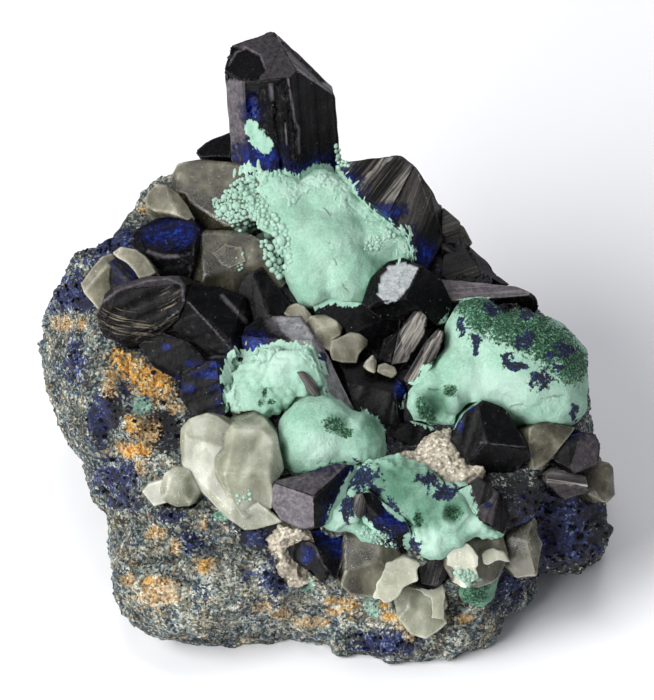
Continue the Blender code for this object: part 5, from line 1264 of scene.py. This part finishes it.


# Little azurite crystals seated on the rest: the outline, how tall each stands, how strong its painted sheen
# is and how blue it is.
SMALL_CRYSTALS = [
    dict(outline=[(-3.9, -2.5), (-3.1, -2.4), (-2.1, -3.1), (-1.3, -4.3), (-0.8, -5.5), (-1.7, -5.6),
        (-2.6, -5), (-3, -3.9), (-3.5, -3.1)], tall=0.5, lines=(0.6, -0.8, 0), dull=0.75, blue=-3),
    dict(outline=[(3.2, -17.8), (4.2, -17.4), (4.8, -18.6), (4.6, -20.2), (3.8, -20.6), (3.1, -19.4)],
        tall=0.7, lines=(0.2, 1, 0), dull=0.45, blue=-3),
    dict(outline=[(11.2, -26.2), (12.6, -25.4), (14.4, -25.8), (14.9, -27.6), (13.8, -29.2), (11.6, -28.8)],
        tall=1.4, lines=(0.3, 1, 0), dull=0.35, blue=0),
    dict(outline=[(17.2, -16.4), (18.6, -15.4), (20.2, -17), (20.8, -19.6), (19.4, -20.2), (17.8, -18.6)],
        tall=0.6, lines=(0.3, 1, 0), dull=0.3, blue=-0.6),
    dict(outline=[(12.4, 16.8), (14.6, 18.2), (16.6, 16.4), (17, 13.4), (15.2, 12.6), (13.2, 14)], tall=0.8,
        lines=(0.9, 0.3, 0), dull=0.2, blue=-0.7),
    dict(outline=[(14.6, 12.2), (17.2, 13), (18.8, 10.8), (19.4, 8.8), (16, 8.4), (14.2, 9.6)], tall=0.8,
        lines=(0.9, 0.3, 0), dull=0.2, blue=-0.5),
    dict(outline=[(-27.5, 11.2), (-26.2, 12), (-24.8, 11.2), (-23.8, 10), (-23.2, 8.4), (-25, 7.2),
        (-27.4, 7.4)], tall=3.4, lines=(0.7, -0.7, 0), dull=0.3, blue=0.4),
    dict(outline=[(27.1, -15), (29.2, -14.7), (32, -15.4), (32.4, -16.8), (29.2, -17.4), (27.3, -16.8)],
        tall=0.5, lines=(1, -0.15, 0), dull=0.9, blue=-3),
]


def make_small_crystals(material, tree):
    """Each is a low roof of two faces that meet along its lines."""
    parts, marks = [], {"dull": [], "blue": []}
    for crystal in SMALL_CRYSTALS:
        outline = crystal["outline"]
        middle = sum(map(Vector, outline), Vector((0, 0))) / len(outline)
        place, _ = dropped(tree, middle)
        ridge = on_display(place).z + crystal["tall"]
        side = Vector((-crystal["lines"][1], crystal["lines"][0]))
        facets = [((*middle, ridge), (*(side * lean), 1)) for lean in (-0.5, 0.4)]
        part = calcite_body(cut_crystal(outline, ridge + 2, ridge - 4, facets), 1.3, 0.08)
        lay_grain(part, crystal["lines"])
        for mark in marks:
            marks[mark] += [crystal[mark]] * len(part.verts)
        parts.append(part)
    bm = together(parts)
    marks["streaked"] = [0.8] * len(bm.verts)
    marks["film"] = [-3.0] * len(bm.verts)
    return finish_piece("azurite_small_crystals", bm, [], "azurite", material, marks, smooth=False)


def surface_tree(pieces):
    """All their faces in one tree, for distances and for rays."""
    verts, faces = [], []
    for piece in pieces:
        start = len(verts)
        verts += [v.co.copy() for v in piece.data.vertices]
        faces += [tuple(i + start for i in p.vertices) for p in piece.data.polygons]
    return BVHTree.FromPolygons(verts, faces)


# Stage


def make_floor():
    bm = bmesh.new()
    bmesh.ops.create_grid(bm, x_segments=1, y_segments=1, size=3.0)
    material, _, shader = new_material("pale_paper")
    fill(shader, {"Base Color": linear("#fdfdff"), "Roughness": 0.9})
    floor = new_object("floor", bm)
    floor.data.materials.append(material)


def add_softbox(name, place, size, power):
    lamp = bpy.data.lights.new(name, "AREA")
    lamp.shape = "DISK"
    lamp.size = size
    lamp.energy = power
    holder = bpy.data.objects.new(name, lamp)
    bpy.context.scene.collection.objects.link(holder)
    holder.location = place
    holder.rotation_euler = (Vector((0, 0, 0.025)) - Vector(place)).to_track_quat("-Z", "Y").to_euler()


def make_light():
    world = bpy.data.worlds.new("studio")
    bpy.context.scene.world = world
    world.use_nodes = True
    sky = world.node_tree.nodes["Background"]
    sky.inputs["Color"].default_value = linear("#f4f5ff")
    sky.inputs["Strength"].default_value = 0.28
    add_softbox("key", (-0.6, -0.5, 0.5), 0.8, 13.0)
    add_softbox("overhead", (0.0, 0.1, 0.9), 0.6, 2.2)


def make_camera():
    frame_height, distance = 87.5, 1000.0  # mm
    camera = bpy.data.cameras.new("camera")
    camera.sensor_width = 36.0
    camera.lens = camera.sensor_width * distance / frame_height
    camera.clip_start, camera.clip_end = 0.1, 10.0
    holder = bpy.data.objects.new("camera", camera)
    bpy.context.scene.collection.objects.link(holder)
    holder.location = TO_WORLD @ Vector((-0.125, 0.25, distance))
    holder.rotation_euler = (math.radians(90 - VIEW_ELEVATION), 0, 0)
    bpy.context.scene.camera = holder


make_camera()
make_floor()
make_light()
bpy.context.scene.view_settings.view_transform = "Standard"
speckled = make_ore_material()
glassy = make_azurite_material()
ore = make_ore(speckled)
make_ore_grains(speckled, ore)
make_druse(glassy, ore)
velvet = make_malachite_material()
malachite = make_malachite(velvet)
calcite = make_calcite(
    make_calcite_material("clear_calcite", ("#5f5c49", "#716e5a", "#84816c", "#a8a590"), 0.8, 0.5),
    make_calcite_material("dull_calcite", ("#87836f", "#99957f", "#aaa792", "#c2bfab"), 0.6, 0.3),
    make_calcite_material("cloudy_calcite", ("#acae96", "#babca5", "#c8cab5", "#dadccc"), 0.6, 0.35),
    make_crust_material())
azurite = make_azurite(glassy, malachite)
tree = surface_tree([ore, *malachite, *calcite, *azurite])
make_tufts(velvet, malachite)
make_small_crystals(glassy, tree)
make_beads(velvet, tree)
make_frills(velvet, tree)
